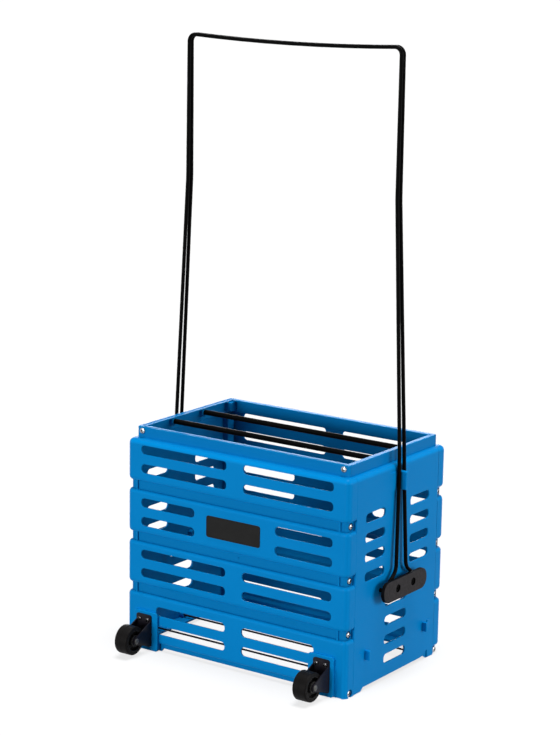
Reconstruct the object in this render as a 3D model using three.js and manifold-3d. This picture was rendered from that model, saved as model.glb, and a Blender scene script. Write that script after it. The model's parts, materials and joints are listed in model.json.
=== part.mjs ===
// A wheeled cart for collecting, carrying and handing out tennis balls.
// A basket of four moulded panels screwed together at the corners, open at the top and the bottom
// but for rods that a ball squeezes between. Two wire handles stand up for carrying and swing down
// on either side to become legs. Two small wheels in fixed forks let it be tilted and rolled.
// Millimetres, +Z up, +X to the right, and the face with the wheels looks to -Y.

import * as THREE from 'three';
import { mergeVertices } from 'three/addons/utils/BufferGeometryUtils.js';
import Module from 'manifold-3d';

const wasm = await Module();
wasm.setup();

// Driving dimensions of the basket
const basket = {
  length: 350,
  width: 231,
  height: 300,
  wall: 3,
  cornerRadius: 8,
  groundGap: 4.5,
  returnLength: 18.4,
  longFootLength: 25,
  endFootLength: 13.2,
  endFootRamp: 10,
};
const rim = {
  height: 15,
  insetX: 8.1,
  insetY: 11.9,
  wall: 3,
  cornerRadius: 2.5,
  flangeWidth: 8,
  flangeThickness: 2.4,
};
const bands = {
  topGrooveDrop: 77.2,
  groovePitch: 70.4,
  shortestBand: 45,
  grooveMouth: 23,
  grooveFloor: 11.6,
  grooveDepth: 4.4,
  innerSlopeRun: 1,
  topRadius: 7,
  lowestEdge: 14.5,
};
const skirt = { inset: 3.9, top: 10.3 };
const grooveRib = { fromEnd: 15, width: 1.8, height: 1.6 };

// Clearances that the fits share, and how far a cutter overruns and joined forms sink together
const seam = 0.3;
const overrun = 1;
const overlap = 0.4;
const screwClearance = 0.3;
const rodClearance = 0.15;
const pivotClearance = 0.35;

// Slots in the long faces and in the ends
const slots = {
  height: 12.2,
  cornerRadius: 5.4,
  rowPitch: 25.6,
  faceMargin: 23.9,
  middleGap: 27,
  plainGap: 128,
  wheelMargin: 49.3,
};
const endSlots = {
  height: 12,
  cornerRadius: 5.2,
  topDrop: 73.2,
  rowPitch: 25.6,
  columnGap: 60.6,
  edgeMargin: 21.5,
  clearAbovePivot: 24,
  clearBelowPivot: 19.7,
  clearAboveFloor: 20,
  middleLength: 50.8,
};

// Rods across the top and the bottom
const topRod = {
  diameter: 7.2,
  spacing: 66.8,
  drop: 6.4,
  seat: 2,
  socketWall: 2.4,
  sides: 8,
};
const bottomRod = {
  diameter: 2.6,
  spacing: 64.4,
  count: 3,
  height: 10.7,
  seat: 1,
  socketWall: 2.6,
  socketLength: 6,
  sides: 6,
};

// Screws: all of one pan-headed kind, in two lengths
const screw = {
  headDiameter: 8,
  crownDiameter: 6,
  headHeight: 2.2,
  shankDiameter: 3,
  longShank: 11,
  shortShank: 8,
  sides: 8,
  holeSides: 6,
};
const forkScrew = {
  headDiameter: 5.6,
  crownDiameter: 4,
  headHeight: 1.8,
  shankDiameter: 2.6,
  shank: 7,
  sides: 6,
  holeSides: 6,
};
const cornerScrews = {
  fromFace: 11.6,
  footHeight: 5.2,
  rimSetback: 16.6,
  rimDrop: 5.8,
  sink: 1.8,
  pocket: 10.8,
};
const boss = { diameter: 8, endWall: 1.5, sides: 6 };

// Wire handles
const handle = {
  wireDiameter: 5,
  sides: 8,
  pivotFromEdge: 58.5,
  pivotDrop: 175.2,
  standoff: 6.3,
  shoulderStandoff: 2.8,
  shoulderHeight: 296,
  elbowHeight: 620,
  topHeight: 807,
  topSpan: 325.6,
  topBow: 4.4,
  waistRise: 20.7,
  waistSpan: 23.4,
  guideSpan: 12.4,
  shoulderSpan: 11.3,
  topGap: 5.5,
  topRadius: 9.5,
  waistRadius: 16,
  pivotRadius: 4.4,
  pinReach: 9,
  bendSteps: 3,
};
const retainer = { diameter: 12, thickness: 1.8, boreClearance: 0.3, endCover: 1.2, sides: 8 };
const pivotBoss = { diameter: 13, inward: 2.2, boreSides: 10 };

// Bracket plate over the handle pivots
const bracket = {
  overhang: 12.9,
  height: 27.4,
  drop: 0.8,
  thickness: 5.4,
  gap: 9.2,
  cornerRadius: 12.6,
  edgeRound: 1.2,
  screwPlaceShare: 0.475,
  counterboreDepth: 3.2,
  counterboreClearance: 0.5,
};
const standoffPost = { diameter: 11, innerDiameter: 7, sides: 8, inwardDepth: 6 };

// Guide that parts the two wires below the rim, and the one that each leg rests by when it is down
const guide = {
  drop: 37.4,
  height: 24,
  postWidth: 6,
  postReach: 12,
  padReach: 0.7,
  padLength: 16,
  padInset: 9.2,
};
const legRest = {
  belowPivot: 77.5,
  height: 12.4,
  postFromPivot: 28.9,
  postWidth: 4,
  postReach: 7,
  padFromPivot: 40.7,
  padLength: 9,
};

// Wheels
const wheel = {
  diameter: 38.3,
  width: 20,
  treadDepth: 5.5,
  sideRecess: 2.4,
  hubDiameter: 13,
  inset: 33,
  forward: 36.4,
  edgeRound: 2,
  boreClearance: 0.1,
  coreGap: 0.3,
  floorGap: 3.1,
  sides: 20,
  coreSides: 12,
};
const fork = {
  width: 24.6,
  sheet: 1.5,
  plateBottom: 5.6,
  plateTop: 49.6,
  legTop: 41,
  eyeRadius: 5.2,
  cornerRadius: 3,
  screwSpan: 13,
  upperScrews: 42.8,
  lowerScrews: 10.6,
  topReach: 2.7,
  eyeStartTurn: Math.PI / 2,
  eyeSweep: Math.PI,
  eyeSteps: 4,
  eyeClearance: 0.2,
};
const axle = { diameter: 5, headDiameter: 7.6, headThickness: 1.4, sides: 10 };
const wheelBoss = { width: 39, inward: 2, top: 53.5, reach: 4, depth: 6, cornerRadius: 4 };
const footNotch = { fromEnd: 14.8, length: 17, top: 11, depth: 1.6 };
const cornerRamp = { fromEnd: 5.5, width: 8.5, top: 60, depth: 1.7 };

// Steps used for round outlines
const cornerSteps = 2;
const plateSteps = 3;
const slotSteps = 2;
const edgeSteps = 2;

// Places worked out from the sizes above
const halfLength = basket.length / 2;
const halfWidth = basket.width / 2;
const ledge = basket.height - rim.height;
const returnEnd = halfWidth - basket.returnLength;
const endHalf = returnEnd - seam;
const rimX = halfLength - rim.insetX;
const rimY = halfWidth - rim.insetY;
const flangeUnder = basket.height - rim.flangeThickness;
const topRodHeight = basket.height - topRod.drop;
const faceX = halfLength;
const bracketBack = faceX + bracket.gap;
const bracketFront = bracketBack + bracket.thickness;
const lapFace = halfLength - bands.grooveDepth - basket.wall - seam;
const lapBack = lapFace - basket.wall;
const screwY = halfWidth - cornerScrews.fromFace;
const rimScrewX = halfLength - cornerScrews.rimSetback;
const rimScrewHeight = basket.height - cornerScrews.rimDrop;
const bossFace = halfWidth + wheelBoss.reach;
const wheelX = halfLength - wheel.inset;
const wheelBossX = wheelX - wheelBoss.inward;
const axleY = halfWidth + wheel.forward;
const axleHeight = wheel.diameter / 2 + wheel.floorGap;
const roomForGrooves = basket.height - bands.topGrooveDrop - bands.grooveMouth / 2
  - bands.lowestEdge - bands.shortestBand;
const grooveCentres = Array.from(
  { length: 1 + Math.max(0, Math.floor(roomForGrooves / bands.groovePitch)) },
  (_, k) => basket.height - bands.topGrooveDrop - k * bands.groovePitch,
);
const rimEndHalf = rimY - rim.wall - seam;
const pivotY = endHalf - handle.pivotFromEdge;
const pivotHeight = basket.height - handle.pivotDrop;
const waistHeight = pivotHeight + handle.waistRise;
const bracketScrewY = pivotY * bracket.screwPlaceShare;
const guideCentre = basket.height - guide.drop;

// Materials, in the colours of the real one
const paint = (color, roughness, metalness) => (
  new THREE.MeshStandardMaterial({ color, roughness, metalness })
);
const bluePlastic = () => paint(0x0082cd, 0.42, 0);
const blackWire = () => paint(0x141416, 0.38, 0.2);
const blackPlastic = () => paint(0x303238, 0.6, 0);
const blackSteel = () => paint(0x17181a, 0.4, 0.5);
const tyreRubber = () => paint(0x22201f, 0.75, 0);
const hubPlastic = () => paint(0x2a292b, 0.5, 0);
const plating = () => paint(0xc9ccd0, 0.25, 0.9);

// Solids and booleans

// Turns a closed mesh whose winding may run either way into a solid that faces out.
function toSolid(geometry) {
  const bare = geometry.clone();
  bare.deleteAttribute('normal');
  bare.deleteAttribute('uv');
  const welded = mergeVertices(bare);
  const points = welded.attributes.position.array;
  const corners = Uint32Array.from(welded.index.array);
  let sixVolumes = 0;
  for (let i = 0; i < corners.length; i += 3) {
    const [a, b, c] = [0, 1, 2].map((k) => new THREE.Vector3().fromArray(points, 3 * corners[i + k]));
    sixVolumes += a.dot(b.cross(c));
  }
  if (sixVolumes < 0) {
    for (let i = 0; i < corners.length; i += 3) {
      [corners[i], corners[i + 1]] = [corners[i + 1], corners[i]];
    }
  }
  return new wasm.Manifold(new wasm.Mesh({ numProp: 3, vertProperties: points, triVerts: corners }));
}

function toGeometry(solid) {
  const { vertProperties, triVerts, numProp } = solid.getMesh();
  const geometry = new THREE.BufferGeometry();
  const positions = new Float32Array(triVerts.length * 3);
  triVerts.forEach((vertex, i) => {
    for (let k = 0; k < 3; k += 1) positions[3 * i + k] = vertProperties[numProp * vertex + k];
  });
  geometry.setAttribute('position', new THREE.BufferAttribute(positions, 3));
  geometry.computeVertexNormals();
  return geometry;
}

const joined = (first, ...rest) => rest.reduce((sum, part) => sum.add(part), first);
const cut = (first, ...rest) => rest.reduce((left, part) => left.subtract(part), first);

// A box between two corners.
function box([x0, y0, z0], [x1, y1, z1]) {
  const geometry = new THREE.BoxGeometry(Math.abs(x1 - x0), Math.abs(y1 - y0), Math.abs(z1 - z0));
  return toSolid(geometry.translate((x0 + x1) / 2, (y0 + y1) / 2, (z0 + z1) / 2));
}

// A rod or a round boss along X or Y between two stations, centred on the other two coordinates.
function rodAlongX(radius, x0, x1, y, z, sides) {
  const geometry = new THREE.CylinderGeometry(radius, radius, Math.abs(x1 - x0), sides);
  return toSolid(geometry.rotateZ(Math.PI / 2).translate((x0 + x1) / 2, y, z));
}

function rodAlongY(radius, y0, y1, x, z, sides) {
  const geometry = new THREE.CylinderGeometry(radius, radius, Math.abs(y1 - y0), sides);
  return toSolid(geometry.translate(x, (y0 + y1) / 2, z));
}

// A rectangle with round corners, centred on (cx, cy).
function roundedOutline(cx, cy, width, height, radius, steps) {
  const points = [];
  const [dx, dy] = [width / 2 - radius, height / 2 - radius];
  [[dx, dy], [-dx, dy], [-dx, -dy], [dx, -dy]].forEach(([x, y], quarter) => {
    for (let s = 0; s <= steps; s += 1) {
      const angle = (quarter + s / steps) * (Math.PI / 2);
      points.push(new THREE.Vector2(cx + x + radius * Math.cos(angle), cy + y + radius * Math.sin(angle)));
    }
  });
  return points;
}

function extruded(points, depth) {
  return new THREE.ExtrudeGeometry(new THREE.Shape(points), { depth, bevelEnabled: false, steps: 1 });
}

// An outline drawn in X and Z, made solid between two places along Y.
function plateAcrossY(points, y0, y1) {
  const geometry = extruded(points, Math.abs(y1 - y0)).rotateX(Math.PI / 2);
  return toSolid(geometry.translate(0, Math.max(y0, y1), 0));
}

// An outline drawn in Y and Z, made solid between two places along X.
function plateAcrossX(points, x0, x1) {
  const geometry = extruded(points, Math.abs(x1 - x0)).rotateY(Math.PI / 2).rotateX(Math.PI / 2);
  return toSolid(geometry.translate(Math.min(x0, x1), 0, 0));
}

// A ring or knob turned about the X axis, from (radius, x) points that start and end on the axis
// or close on themselves.
function turned(profile, sides) {
  const geometry = new THREE.LatheGeometry(profile.map(([r, x]) => new THREE.Vector2(r, x)), sides);
  return toSolid(geometry.rotateZ(-Math.PI / 2));
}

// Long panels

// The rounded step between a band's face and the level beside it, from the face's edge inwards.
function roundedStep(faceEdge, floorEdge, depth) {
  const points = [];
  for (let s = 0; s <= edgeSteps; s += 1) {
    const angle = (s / edgeSteps) * (Math.PI / 2);
    const z = faceEdge + (floorEdge - faceEdge) * Math.sin(angle);
    points.push({ z, inset: depth * (1 - Math.cos(angle)) });
  }
  return points;
}

// The upright section of a long panel's wall: up the outside, over the ledge, down the inside.
function panelSection() {
  const { grooveMouth, grooveFloor, grooveDepth, topRadius, lowestEdge, innerSlopeRun } = bands;
  const { wall } = basket;
  const outside = [{ z: 0, inset: skirt.inset }];
  outside.push(...roundedStep(lowestEdge, skirt.top, skirt.inset).reverse());
  [...grooveCentres].reverse().forEach((centre) => {
    outside.push(...roundedStep(centre - grooveMouth / 2, centre - grooveFloor / 2, grooveDepth));
    outside.push(...roundedStep(centre + grooveMouth / 2, centre + grooveFloor / 2, grooveDepth).reverse());
  });
  outside.push(...roundedStep(ledge - topRadius, ledge, topRadius));
  const shelf = rim.wall - overlap;
  const ledgeEnd = { insetX: rim.insetX + shelf, insetY: rim.insetY + shelf };
  outside.push({ z: ledge, ...ledgeEnd });
  const inside = [{ z: ledge - wall, ...ledgeEnd }];
  inside.push({ z: ledge - wall, inset: topRadius });
  inside.push({ z: ledge - topRadius, inset: wall });
  grooveCentres.forEach((centre) => {
    inside.push({ z: centre + grooveMouth / 2 + innerSlopeRun, inset: wall });
    inside.push({ z: centre + grooveFloor / 2 + wall / 2, inset: grooveDepth + wall });
    inside.push({ z: centre - grooveFloor / 2 - wall / 2, inset: grooveDepth + wall });
    inside.push({ z: centre - grooveMouth / 2 - innerSlopeRun, inset: wall });
  });
  inside.push({ z: lowestEdge + innerSlopeRun, inset: wall });
  inside.push({ z: skirt.top + wall / 2, inset: skirt.inset + wall });
  inside.push({ z: 0, inset: skirt.inset + wall });
  return [...outside, ...inside];
}

// One level of a long panel seen from above: along one return, round both corners, along the other.
function panelLevel({ z, inset, insetX = inset, insetY = inset }) {
  const radius = Math.max(basket.cornerRadius - Math.max(insetX, insetY), seam / 2);
  const [x, y] = [halfLength - insetX, halfWidth - insetY];
  const points = [new THREE.Vector3(-x, -returnEnd, z)];
  [-1, 1].forEach((side) => {
    const start = side < 0 ? Math.PI : 1.5 * Math.PI;
    for (let s = 0; s <= cornerSteps; s += 1) {
      const angle = start + (s / cornerSteps) * (Math.PI / 2);
      const px = side * (x - radius) + radius * Math.cos(angle);
      const py = radius - y + radius * Math.sin(angle);
      points.push(new THREE.Vector3(px, py, z));
    }
  });
  points.push(new THREE.Vector3(x, -returnEnd, z));
  return points;
}

// Joins the levels of a closed section into one solid, with its two ends closed.
function loftedPanel(levels) {
  const [rows, columns] = [levels.length, levels[0].length];
  const positions = levels.flatMap((level) => level.flatMap((point) => point.toArray()));
  const at = (row, column) => (row % rows) * columns + column;
  const index = [];
  for (let row = 0; row < rows; row += 1) {
    for (let column = 0; column < columns - 1; column += 1) {
      const [a, b] = [at(row, column), at(row + 1, column)];
      const [c, d] = [at(row + 1, column + 1), at(row, column + 1)];
      index.push(a, b, d, b, c, d);
    }
  }
  [0, columns - 1].forEach((column) => {
    const outline = levels.map((level) => new THREE.Vector2(Math.abs(level[column].x), level[column].z));
    const alongOutline = Math.sign(THREE.ShapeUtils.area(outline));
    const wanted = column === 0 ? -alongOutline : alongOutline;
    THREE.ShapeUtils.triangulateShape(outline, []).forEach(([i, j, k]) => {
      const turn = Math.sign(THREE.ShapeUtils.area([outline[i], outline[j], outline[k]]));
      const [p, q, r] = turn === wanted ? [i, j, k] : [i, k, j];
      index.push(at(p, column), at(q, column), at(r, column));
    });
  });
  const geometry = new THREE.BufferGeometry();
  geometry.setAttribute('position', new THREE.Float32BufferAttribute(positions, 3));
  geometry.setIndex(index);
  return toSolid(geometry);
}

// The collar above the ledge, with the flange that stiffens its top edge.
function longRim() {
  const { wall, cornerRadius, flangeWidth } = rim;
  const collar = [new THREE.Vector2(-rimX, wall - rimY), new THREE.Vector2(rimX, wall - rimY)];
  [1, -1].forEach((side) => {
    for (let s = 0; s <= slotSteps; s += 1) {
      const angle = (side > 0 ? 0 : -Math.PI / 2) - (s / slotSteps) * (Math.PI / 2);
      const [x, y] = [side * (rimX - cornerRadius), cornerRadius - rimY];
      collar.push(new THREE.Vector2(x + cornerRadius * Math.cos(angle), y + cornerRadius * Math.sin(angle)));
    }
  });
  const upright = toSolid(extruded(collar, rim.height + wall).translate(0, 0, ledge - wall));
  const flangeEnd = rimX - wall - (flangeWidth - wall) - seam;
  const flange = box(
    [-flangeEnd, wall / 2 - rimY, flangeUnder],
    [flangeEnd, flangeWidth - rimY, basket.height],
  );
  return upright.add(flange);
}

// Rows of long slots, two to a band, parted in the middle, or in one band by a broad plain place.
function longSlots(lowestMargin) {
  const edges = [basket.height - rim.height, ...grooveCentres];
  const bandCentres = edges.map((upper, k) => {
    const top = k === 0 ? upper : upper - bands.grooveMouth / 2;
    const bottom = k < grooveCentres.length ? grooveCentres[k] + bands.grooveMouth / 2 : bands.lowestEdge;
    return (top + bottom) / 2;
  });
  const outer = halfLength - slots.faceMargin;
  const cutters = [];
  bandCentres.forEach((centre, k) => {
    const inner = (k === 1 ? slots.plainGap : slots.middleGap) / 2;
    const reach = k === bandCentres.length - 1 ? halfLength - lowestMargin : outer;
    [-1, 1].forEach((side) => {
      [-1, 1].forEach((row) => {
        const [x, z] = [side * (inner + reach) / 2, centre + row * slots.rowPitch / 2];
        const outline = roundedOutline(x, z, reach - inner, slots.height, slots.cornerRadius, slotSteps);
        cutters.push(plateAcrossY(outline, -halfWidth - overrun, basket.wall + overrun - halfWidth));
      });
    });
  });
  return cutters;
}

// Heights of the corner screws that look along X: one in each groove and one in the foot.
const cornerScrewHeights = [...grooveCentres, cornerScrews.footHeight];

// The pads that carry the wheel forks, over the lowest band and down to the floor.
function wheelPads() {
  const { width, top, cornerRadius, depth } = wheelBoss;
  return [-1, 1].map((side) => {
    const outline = roundedOutline(side * wheelBossX, top / 2, width, top, cornerRadius, slotSteps);
    return plateAcrossY(outline, -bossFace, depth - bossFace);
  });
}

// A small upright rib across each groove, just short of the corner.
function grooveRibs() {
  const floor = halfWidth - bands.grooveDepth;
  return grooveCentres.flatMap((z) => [-1, 1].map((side) => {
    const x = side * (halfLength - grooveRib.fromEnd);
    const half = bands.grooveFloor / 2 + bands.innerSlopeRun;
    return box(
      [x - grooveRib.width / 2, -floor - grooveRib.height, z - half],
      [x + grooveRib.width / 2, overlap - floor, z + half],
    );
  }));
}

// A shallow ramp between each wheel pad and the corner, deepest at the foot.
function cornerRampCutters() {
  const { fromEnd, width, top, depth } = cornerRamp;
  return [-1, 1].map((side) => {
    const [outer, inner] = [side * (halfLength - fromEnd), side * (halfLength - fromEnd - width)];
    const slope = [
      [-halfWidth - overrun, top],
      [-halfWidth, top],
      [depth - halfWidth, 0],
      [depth - halfWidth, -overrun],
      [-halfWidth - overrun, -overrun],
    ].map(([y, z]) => new THREE.Vector2(y, z));
    return plateAcrossX(slope, inner, outer);
  });
}

// The space under the long edge between the feet, with sloping ends.
function archCutter(footEdge, ramp, plate, from, to) {
  const outline = [
    new THREE.Vector2(-footEdge, -overrun),
    new THREE.Vector2(footEdge, -overrun),
    new THREE.Vector2(footEdge - ramp, basket.groundGap),
    new THREE.Vector2(ramp - footEdge, basket.groundGap),
  ];
  return plate(outline, from, to);
}

// Clearance holes for the corner and rim screws, with sunk seats for the heads in the grooves.
function cornerScrewHoles() {
  const radius = screw.shankDiameter / 2 + screwClearance;
  const sunk = screw.headDiameter / 2 + screwClearance;
  const seat = halfLength - bands.grooveDepth - cornerScrews.sink;
  const { holeSides } = screw;
  const [outside, inside] = [-rimY - overrun, rim.wall + overrun - rimY];
  return [-1, 1].flatMap((side) => [
    ...grooveCentres.map((z) => (
      rodAlongX(sunk, side * seat, side * (halfLength + overrun), -screwY, z, screw.sides)
    )),
    ...cornerScrewHeights.map((z) => (
      rodAlongX(radius, side * lapFace, side * (halfLength + overrun), -screwY, z, holeSides)
    )),
    rodAlongY(radius, outside, inside, side * rimScrewX, rimScrewHeight, holeSides),
  ]);
}

// Blind holes in the wheel pads.
function forkScrewHoles() {
  const radius = forkScrew.shankDiameter / 2 + screwClearance;
  const end = forkScrew.shank - bossFace;
  return [-1, 1].flatMap((side) => forkScrewPlaces().map(([x, z]) => (
    rodAlongY(radius, -bossFace - overrun, end, side * wheelX + x, z, forkScrew.holeSides)
  )));
}

function rearPanel() {
  const footEdge = halfLength - basket.longFootLength;
  return cut(
    joined(loftedPanel(panelSection().map(panelLevel)), longRim(), ...grooveRibs()),
    archCutter(footEdge, basket.groundGap, plateAcrossY, -halfWidth - overrun, -returnEnd),
    ...longSlots(slots.faceMargin),
    ...cornerScrewHoles(),
  );
}

// The front feet, flush with the lowest band from the wheel pads round to the returns.
function frontFeet() {
  const outer = panelLevel({ z: 0, inset: 0 });
  const inner = panelLevel({ z: 0, inset: skirt.inset + basket.wall / 2 });
  const half = outer.length / 2;
  const from = wheelBossX;
  return [-1, 1].map((side) => {
    const near = (level) => (side > 0 ? level.slice(half) : level.slice(0, half).reverse());
    const [face, back] = [near(outer), near(inner)];
    const ring = [
      [side * from, -halfWidth],
      ...face.map(({ x, y }) => [x, y]),
      ...back.map(({ x, y }) => [x, y]).reverse(),
      [side * from, back[0].y],
    ].map(([x, y]) => new THREE.Vector2(x, y));
    return toSolid(extruded(ring, bands.lowestEdge));
  });
}

// Round pockets in the feet, open at the bottom, for the heads of the lowest corner screws.
function footPockets() {
  const seat = halfLength - skirt.inset;
  return [-1, 1].map((side) => rodAlongX(
    cornerScrews.pocket / 2,
    side * seat,
    side * (halfLength + overrun),
    -screwY,
    cornerScrews.footHeight,
    screw.sides,
  ));
}

// The front panel is the rear one with full feet and pads for the wheels, which shorten its lowest slots.
function frontPanel() {
  const footEdge = wheelBossX - wheelBoss.width / 2;
  const wall = loftedPanel(panelSection().map(panelLevel));
  const shell = cut(joined(wall, ...frontFeet()), ...cornerRampCutters());
  return cut(
    joined(shell, longRim(), ...grooveRibs(), ...wheelPads()),
    archCutter(footEdge, basket.groundGap, plateAcrossY, -bossFace - overrun, -returnEnd),
    ...longSlots(slots.wheelMargin),
    ...footPockets(),
    ...cornerScrewHoles(),
    ...forkScrewHoles(),
  );
}

// End panels

// The upright section of an end panel, from the foot to the flange, in X and Z.
function endSection() {
  const { wall } = basket;
  const { topRadius } = bands;
  const innerRim = rimX - rim.wall;
  const points = [[faceX - wall, 0], [faceX - wall / 2, 0], [faceX, wall / 2]];
  roundedStep(ledge - topRadius, ledge, topRadius).forEach(({ z, inset }) => points.push([faceX - inset, z]));
  points.push([rimX, ledge], [rimX, basket.height], [rimX - rim.flangeWidth, basket.height]);
  points.push([rimX - rim.flangeWidth, flangeUnder], [innerRim, flangeUnder], [innerRim, ledge - wall]);
  points.push([faceX - topRadius, ledge - wall], [faceX - wall, ledge - topRadius]);
  return points.map(([x, z]) => new THREE.Vector2(x, z));
}

// A low pad with a ramp on its far side, which the wire rides up before it drops in beside the post.
function guidePad(side, inset, length, reach, centre, height) {
  const outline = [
    [inset, -overlap],
    [inset, reach],
    [inset + length / 2, reach],
    [inset + length, 0],
    [inset + length, -overlap],
  ].map(([y, x]) => new THREE.Vector2(faceX + x, side * y));
  const geometry = extruded(outline, height).translate(0, 0, centre - height / 2);
  return toSolid(geometry);
}

// The guide under the rim: a post between the two wires and a pad outside each.
function upperGuide() {
  const { height, postWidth, postReach, padInset, padLength, padReach } = guide;
  const post = box(
    [faceX - overlap, -postWidth / 2, guideCentre - height / 2],
    [faceX + postReach, postWidth / 2, guideCentre + height / 2],
  );
  return [post, ...[-1, 1].map((side) => guidePad(side, padInset, padLength, padReach, guideCentre, height))];
}

// Beside each leg's place when it is down: a post inside it and a low pad outside it.
function lowerRests() {
  const { height, postWidth, postReach, padLength } = legRest;
  const centre = pivotHeight - legRest.belowPivot;
  const postInset = pivotY + legRest.postFromPivot;
  const padInset = pivotY + legRest.padFromPivot;
  return [-1, 1].flatMap((side) => [
    box(
      [faceX - overlap, side * postInset, centre - height / 2],
      [faceX + postReach, side * (postInset + postWidth), centre + height / 2],
    ),
    guidePad(side, padInset, padLength, guide.padReach, centre, height),
  ]);
}

// How far in the bosses behind the corner screws are bored.
function cornerBossEnd() {
  return lapFace - screw.longShank + basket.wall - cornerScrews.sink;
}

// The flanges behind the long panels' returns, with a boss behind each corner screw.
function laps() {
  const lapEnd = halfWidth - bands.grooveDepth - basket.wall - seam;
  const lapTop = ledge - bands.topRadius - basket.wall;
  const bossEnd = cornerBossEnd();
  const web = endHalf - basket.wall;
  return [-1, 1].flatMap((side) => [
    box([lapBack, side * web, 0], [faceX - overlap, side * endHalf, lapTop]),
    box([lapBack, side * web, 0], [lapFace, side * lapEnd, lapTop]),
    ...cornerScrewHeights.map((z) => (
      rodAlongX(boss.diameter / 2, bossEnd - boss.endWall, lapFace, side * screwY, z, boss.sides)
    )),
  ]);
}

// The blocks at the rim's ends, which reach the long panels' rims and which the rim screws bite.
function rimBlocks() {
  const inner = endHalf - boss.diameter - basket.wall;
  return [-1, 1].flatMap((side) => [
    box(
      [rimScrewX - boss.diameter / 2, side * inner, ledge + seam],
      [rimX - overlap, side * rimEndHalf, flangeUnder - seam],
    ),
    box(
      [rimX - rim.flangeWidth, side * inner, ledge + seam],
      [rimX - overlap, side * endHalf, flangeUnder + overlap],
    ),
    box(
      [rimX - rim.flangeWidth, side * (endHalf - overlap), ledge + seam],
      [rimX, side * rimEndHalf, basket.height],
    ),
  ]);
}

// Pilot holes for the corner screws and the rim screws.
function endPanelPilots() {
  const radius = screw.shankDiameter / 2 + screwClearance;
  const bossEnd = cornerBossEnd();
  const rimHoleEnd = rimY - screw.shortShank - seam;
  const { holeSides } = screw;
  return [-1, 1].flatMap((side) => [
    ...cornerScrewHeights.map((z) => (
      rodAlongX(radius, bossEnd, halfLength, side * screwY, z, holeSides)
    )),
    rodAlongY(radius, side * rimHoleEnd, side * halfWidth, rimScrewX, rimScrewHeight, holeSides),
  ]);
}

// Sockets for the rods' ends.
function rodSockets() {
  const topRadius = topRod.diameter / 2 + rodClearance;
  const bottomRadius = bottomRod.diameter / 2 + rodClearance;
  const innerFace = faceX - basket.wall;
  const bosses = [];
  const bores = [];
  topRodPlaces().forEach((y) => {
    const [from, to] = [rimX - rim.flangeWidth, rimX - overlap];
    bosses.push(rodAlongX(topRadius + topRod.socketWall, from, to, y, topRodHeight, topRod.sides));
    bores.push(rodAlongX(topRadius, 0, rimX - topRod.seat, y, topRodHeight, topRod.sides));
  });
  bottomRodPlaces().forEach((y) => {
    const [from, to] = [innerFace - bottomRod.socketLength, innerFace + overlap];
    bosses.push(rodAlongX(bottomRadius + bottomRod.socketWall, from, to, y, bottomRod.height, boss.sides));
    bores.push(rodAlongX(bottomRadius, 0, innerFace + bottomRod.seat, y, bottomRod.height, bottomRod.sides));
  });
  const aboveFlange = box([0, -endHalf, flangeUnder + overlap], [rimX, endHalf, basket.height + rim.height]);
  return { bosses: bosses.map((solid) => solid.subtract(aboveFlange)), bores };
}

// Bosses and holes of the handle pivots and of the bracket plate's screws.
function pivotFittings() {
  const pivotRadius = handle.wireDiameter / 2 + pivotClearance;
  const screwRadius = screw.shankDiameter / 2 + screwClearance;
  const inner = faceX - basket.wall;
  const postEnd = inner - standoffPost.inwardDepth;
  const holeEnd = postEnd + boss.endWall;
  const z = pivotHeight;
  const bossEnd = inner - pivotBoss.inward;
  const { sides } = standoffPost;
  const solids = [-1, 1].flatMap((side) => [
    rodAlongX(pivotBoss.diameter / 2, bossEnd, inner + overlap, side * pivotY, z, sides),
    rodAlongX(standoffPost.diameter / 2, inner, bracketBack - seam, side * bracketScrewY, z, sides),
    rodAlongX(standoffPost.innerDiameter / 2, postEnd, inner + overlap, side * bracketScrewY, z, boss.sides),
  ]);
  const holes = [-1, 1].flatMap((side) => [
    rodAlongX(pivotRadius, 0, faceX + overrun, side * pivotY, z, pivotBoss.boreSides),
    rodAlongX(screwRadius, holeEnd, bracketBack + overrun, side * bracketScrewY, z, screw.holeSides),
  ]);
  return { solids, holes };
}

function endSlotCutters() {
  const { height, cornerRadius, rowPitch, columnGap, middleLength } = endSlots;
  const sideTop = basket.height - endSlots.topDrop;
  const middleTop = pivotHeight - endSlots.clearBelowPivot;
  const sideLength = endHalf - endSlots.edgeMargin - columnGap / 2;
  const cutterAt = (y, z, length) => {
    const outline = roundedOutline(y, z, length, height, cornerRadius, slotSteps);
    return plateAcrossX(outline, faceX - basket.wall - overrun, faceX + overrun);
  };
  const rowsBetween = (top, lowest) => Array.from(
    { length: 1 + Math.max(0, Math.floor((top - lowest) / rowPitch)) },
    (_, row) => top - row * rowPitch,
  );
  return [
    ...rowsBetween(sideTop, pivotHeight + endSlots.clearAbovePivot).flatMap((z) => [-1, 1].map((side) => (
      cutterAt(side * (columnGap + sideLength) / 2, z, sideLength)
    ))),
    ...rowsBetween(middleTop, endSlots.clearAboveFloor).map((z) => cutterAt(0, z, middleLength)),
  ];
}

// A shallow notch above the bottom edge, by one foot, which rises towards the corner.
function footNotchCutter() {
  const outer = endHalf - footNotch.fromEnd;
  const inner = outer - footNotch.length;
  const outline = [
    [inner, -overrun],
    [outer, -overrun],
    [outer, footNotch.top],
    [inner, basket.groundGap],
  ].map(([y, z]) => new THREE.Vector2(y, z));
  return plateAcrossX(outline, faceX - footNotch.depth, faceX + overrun);
}

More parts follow.
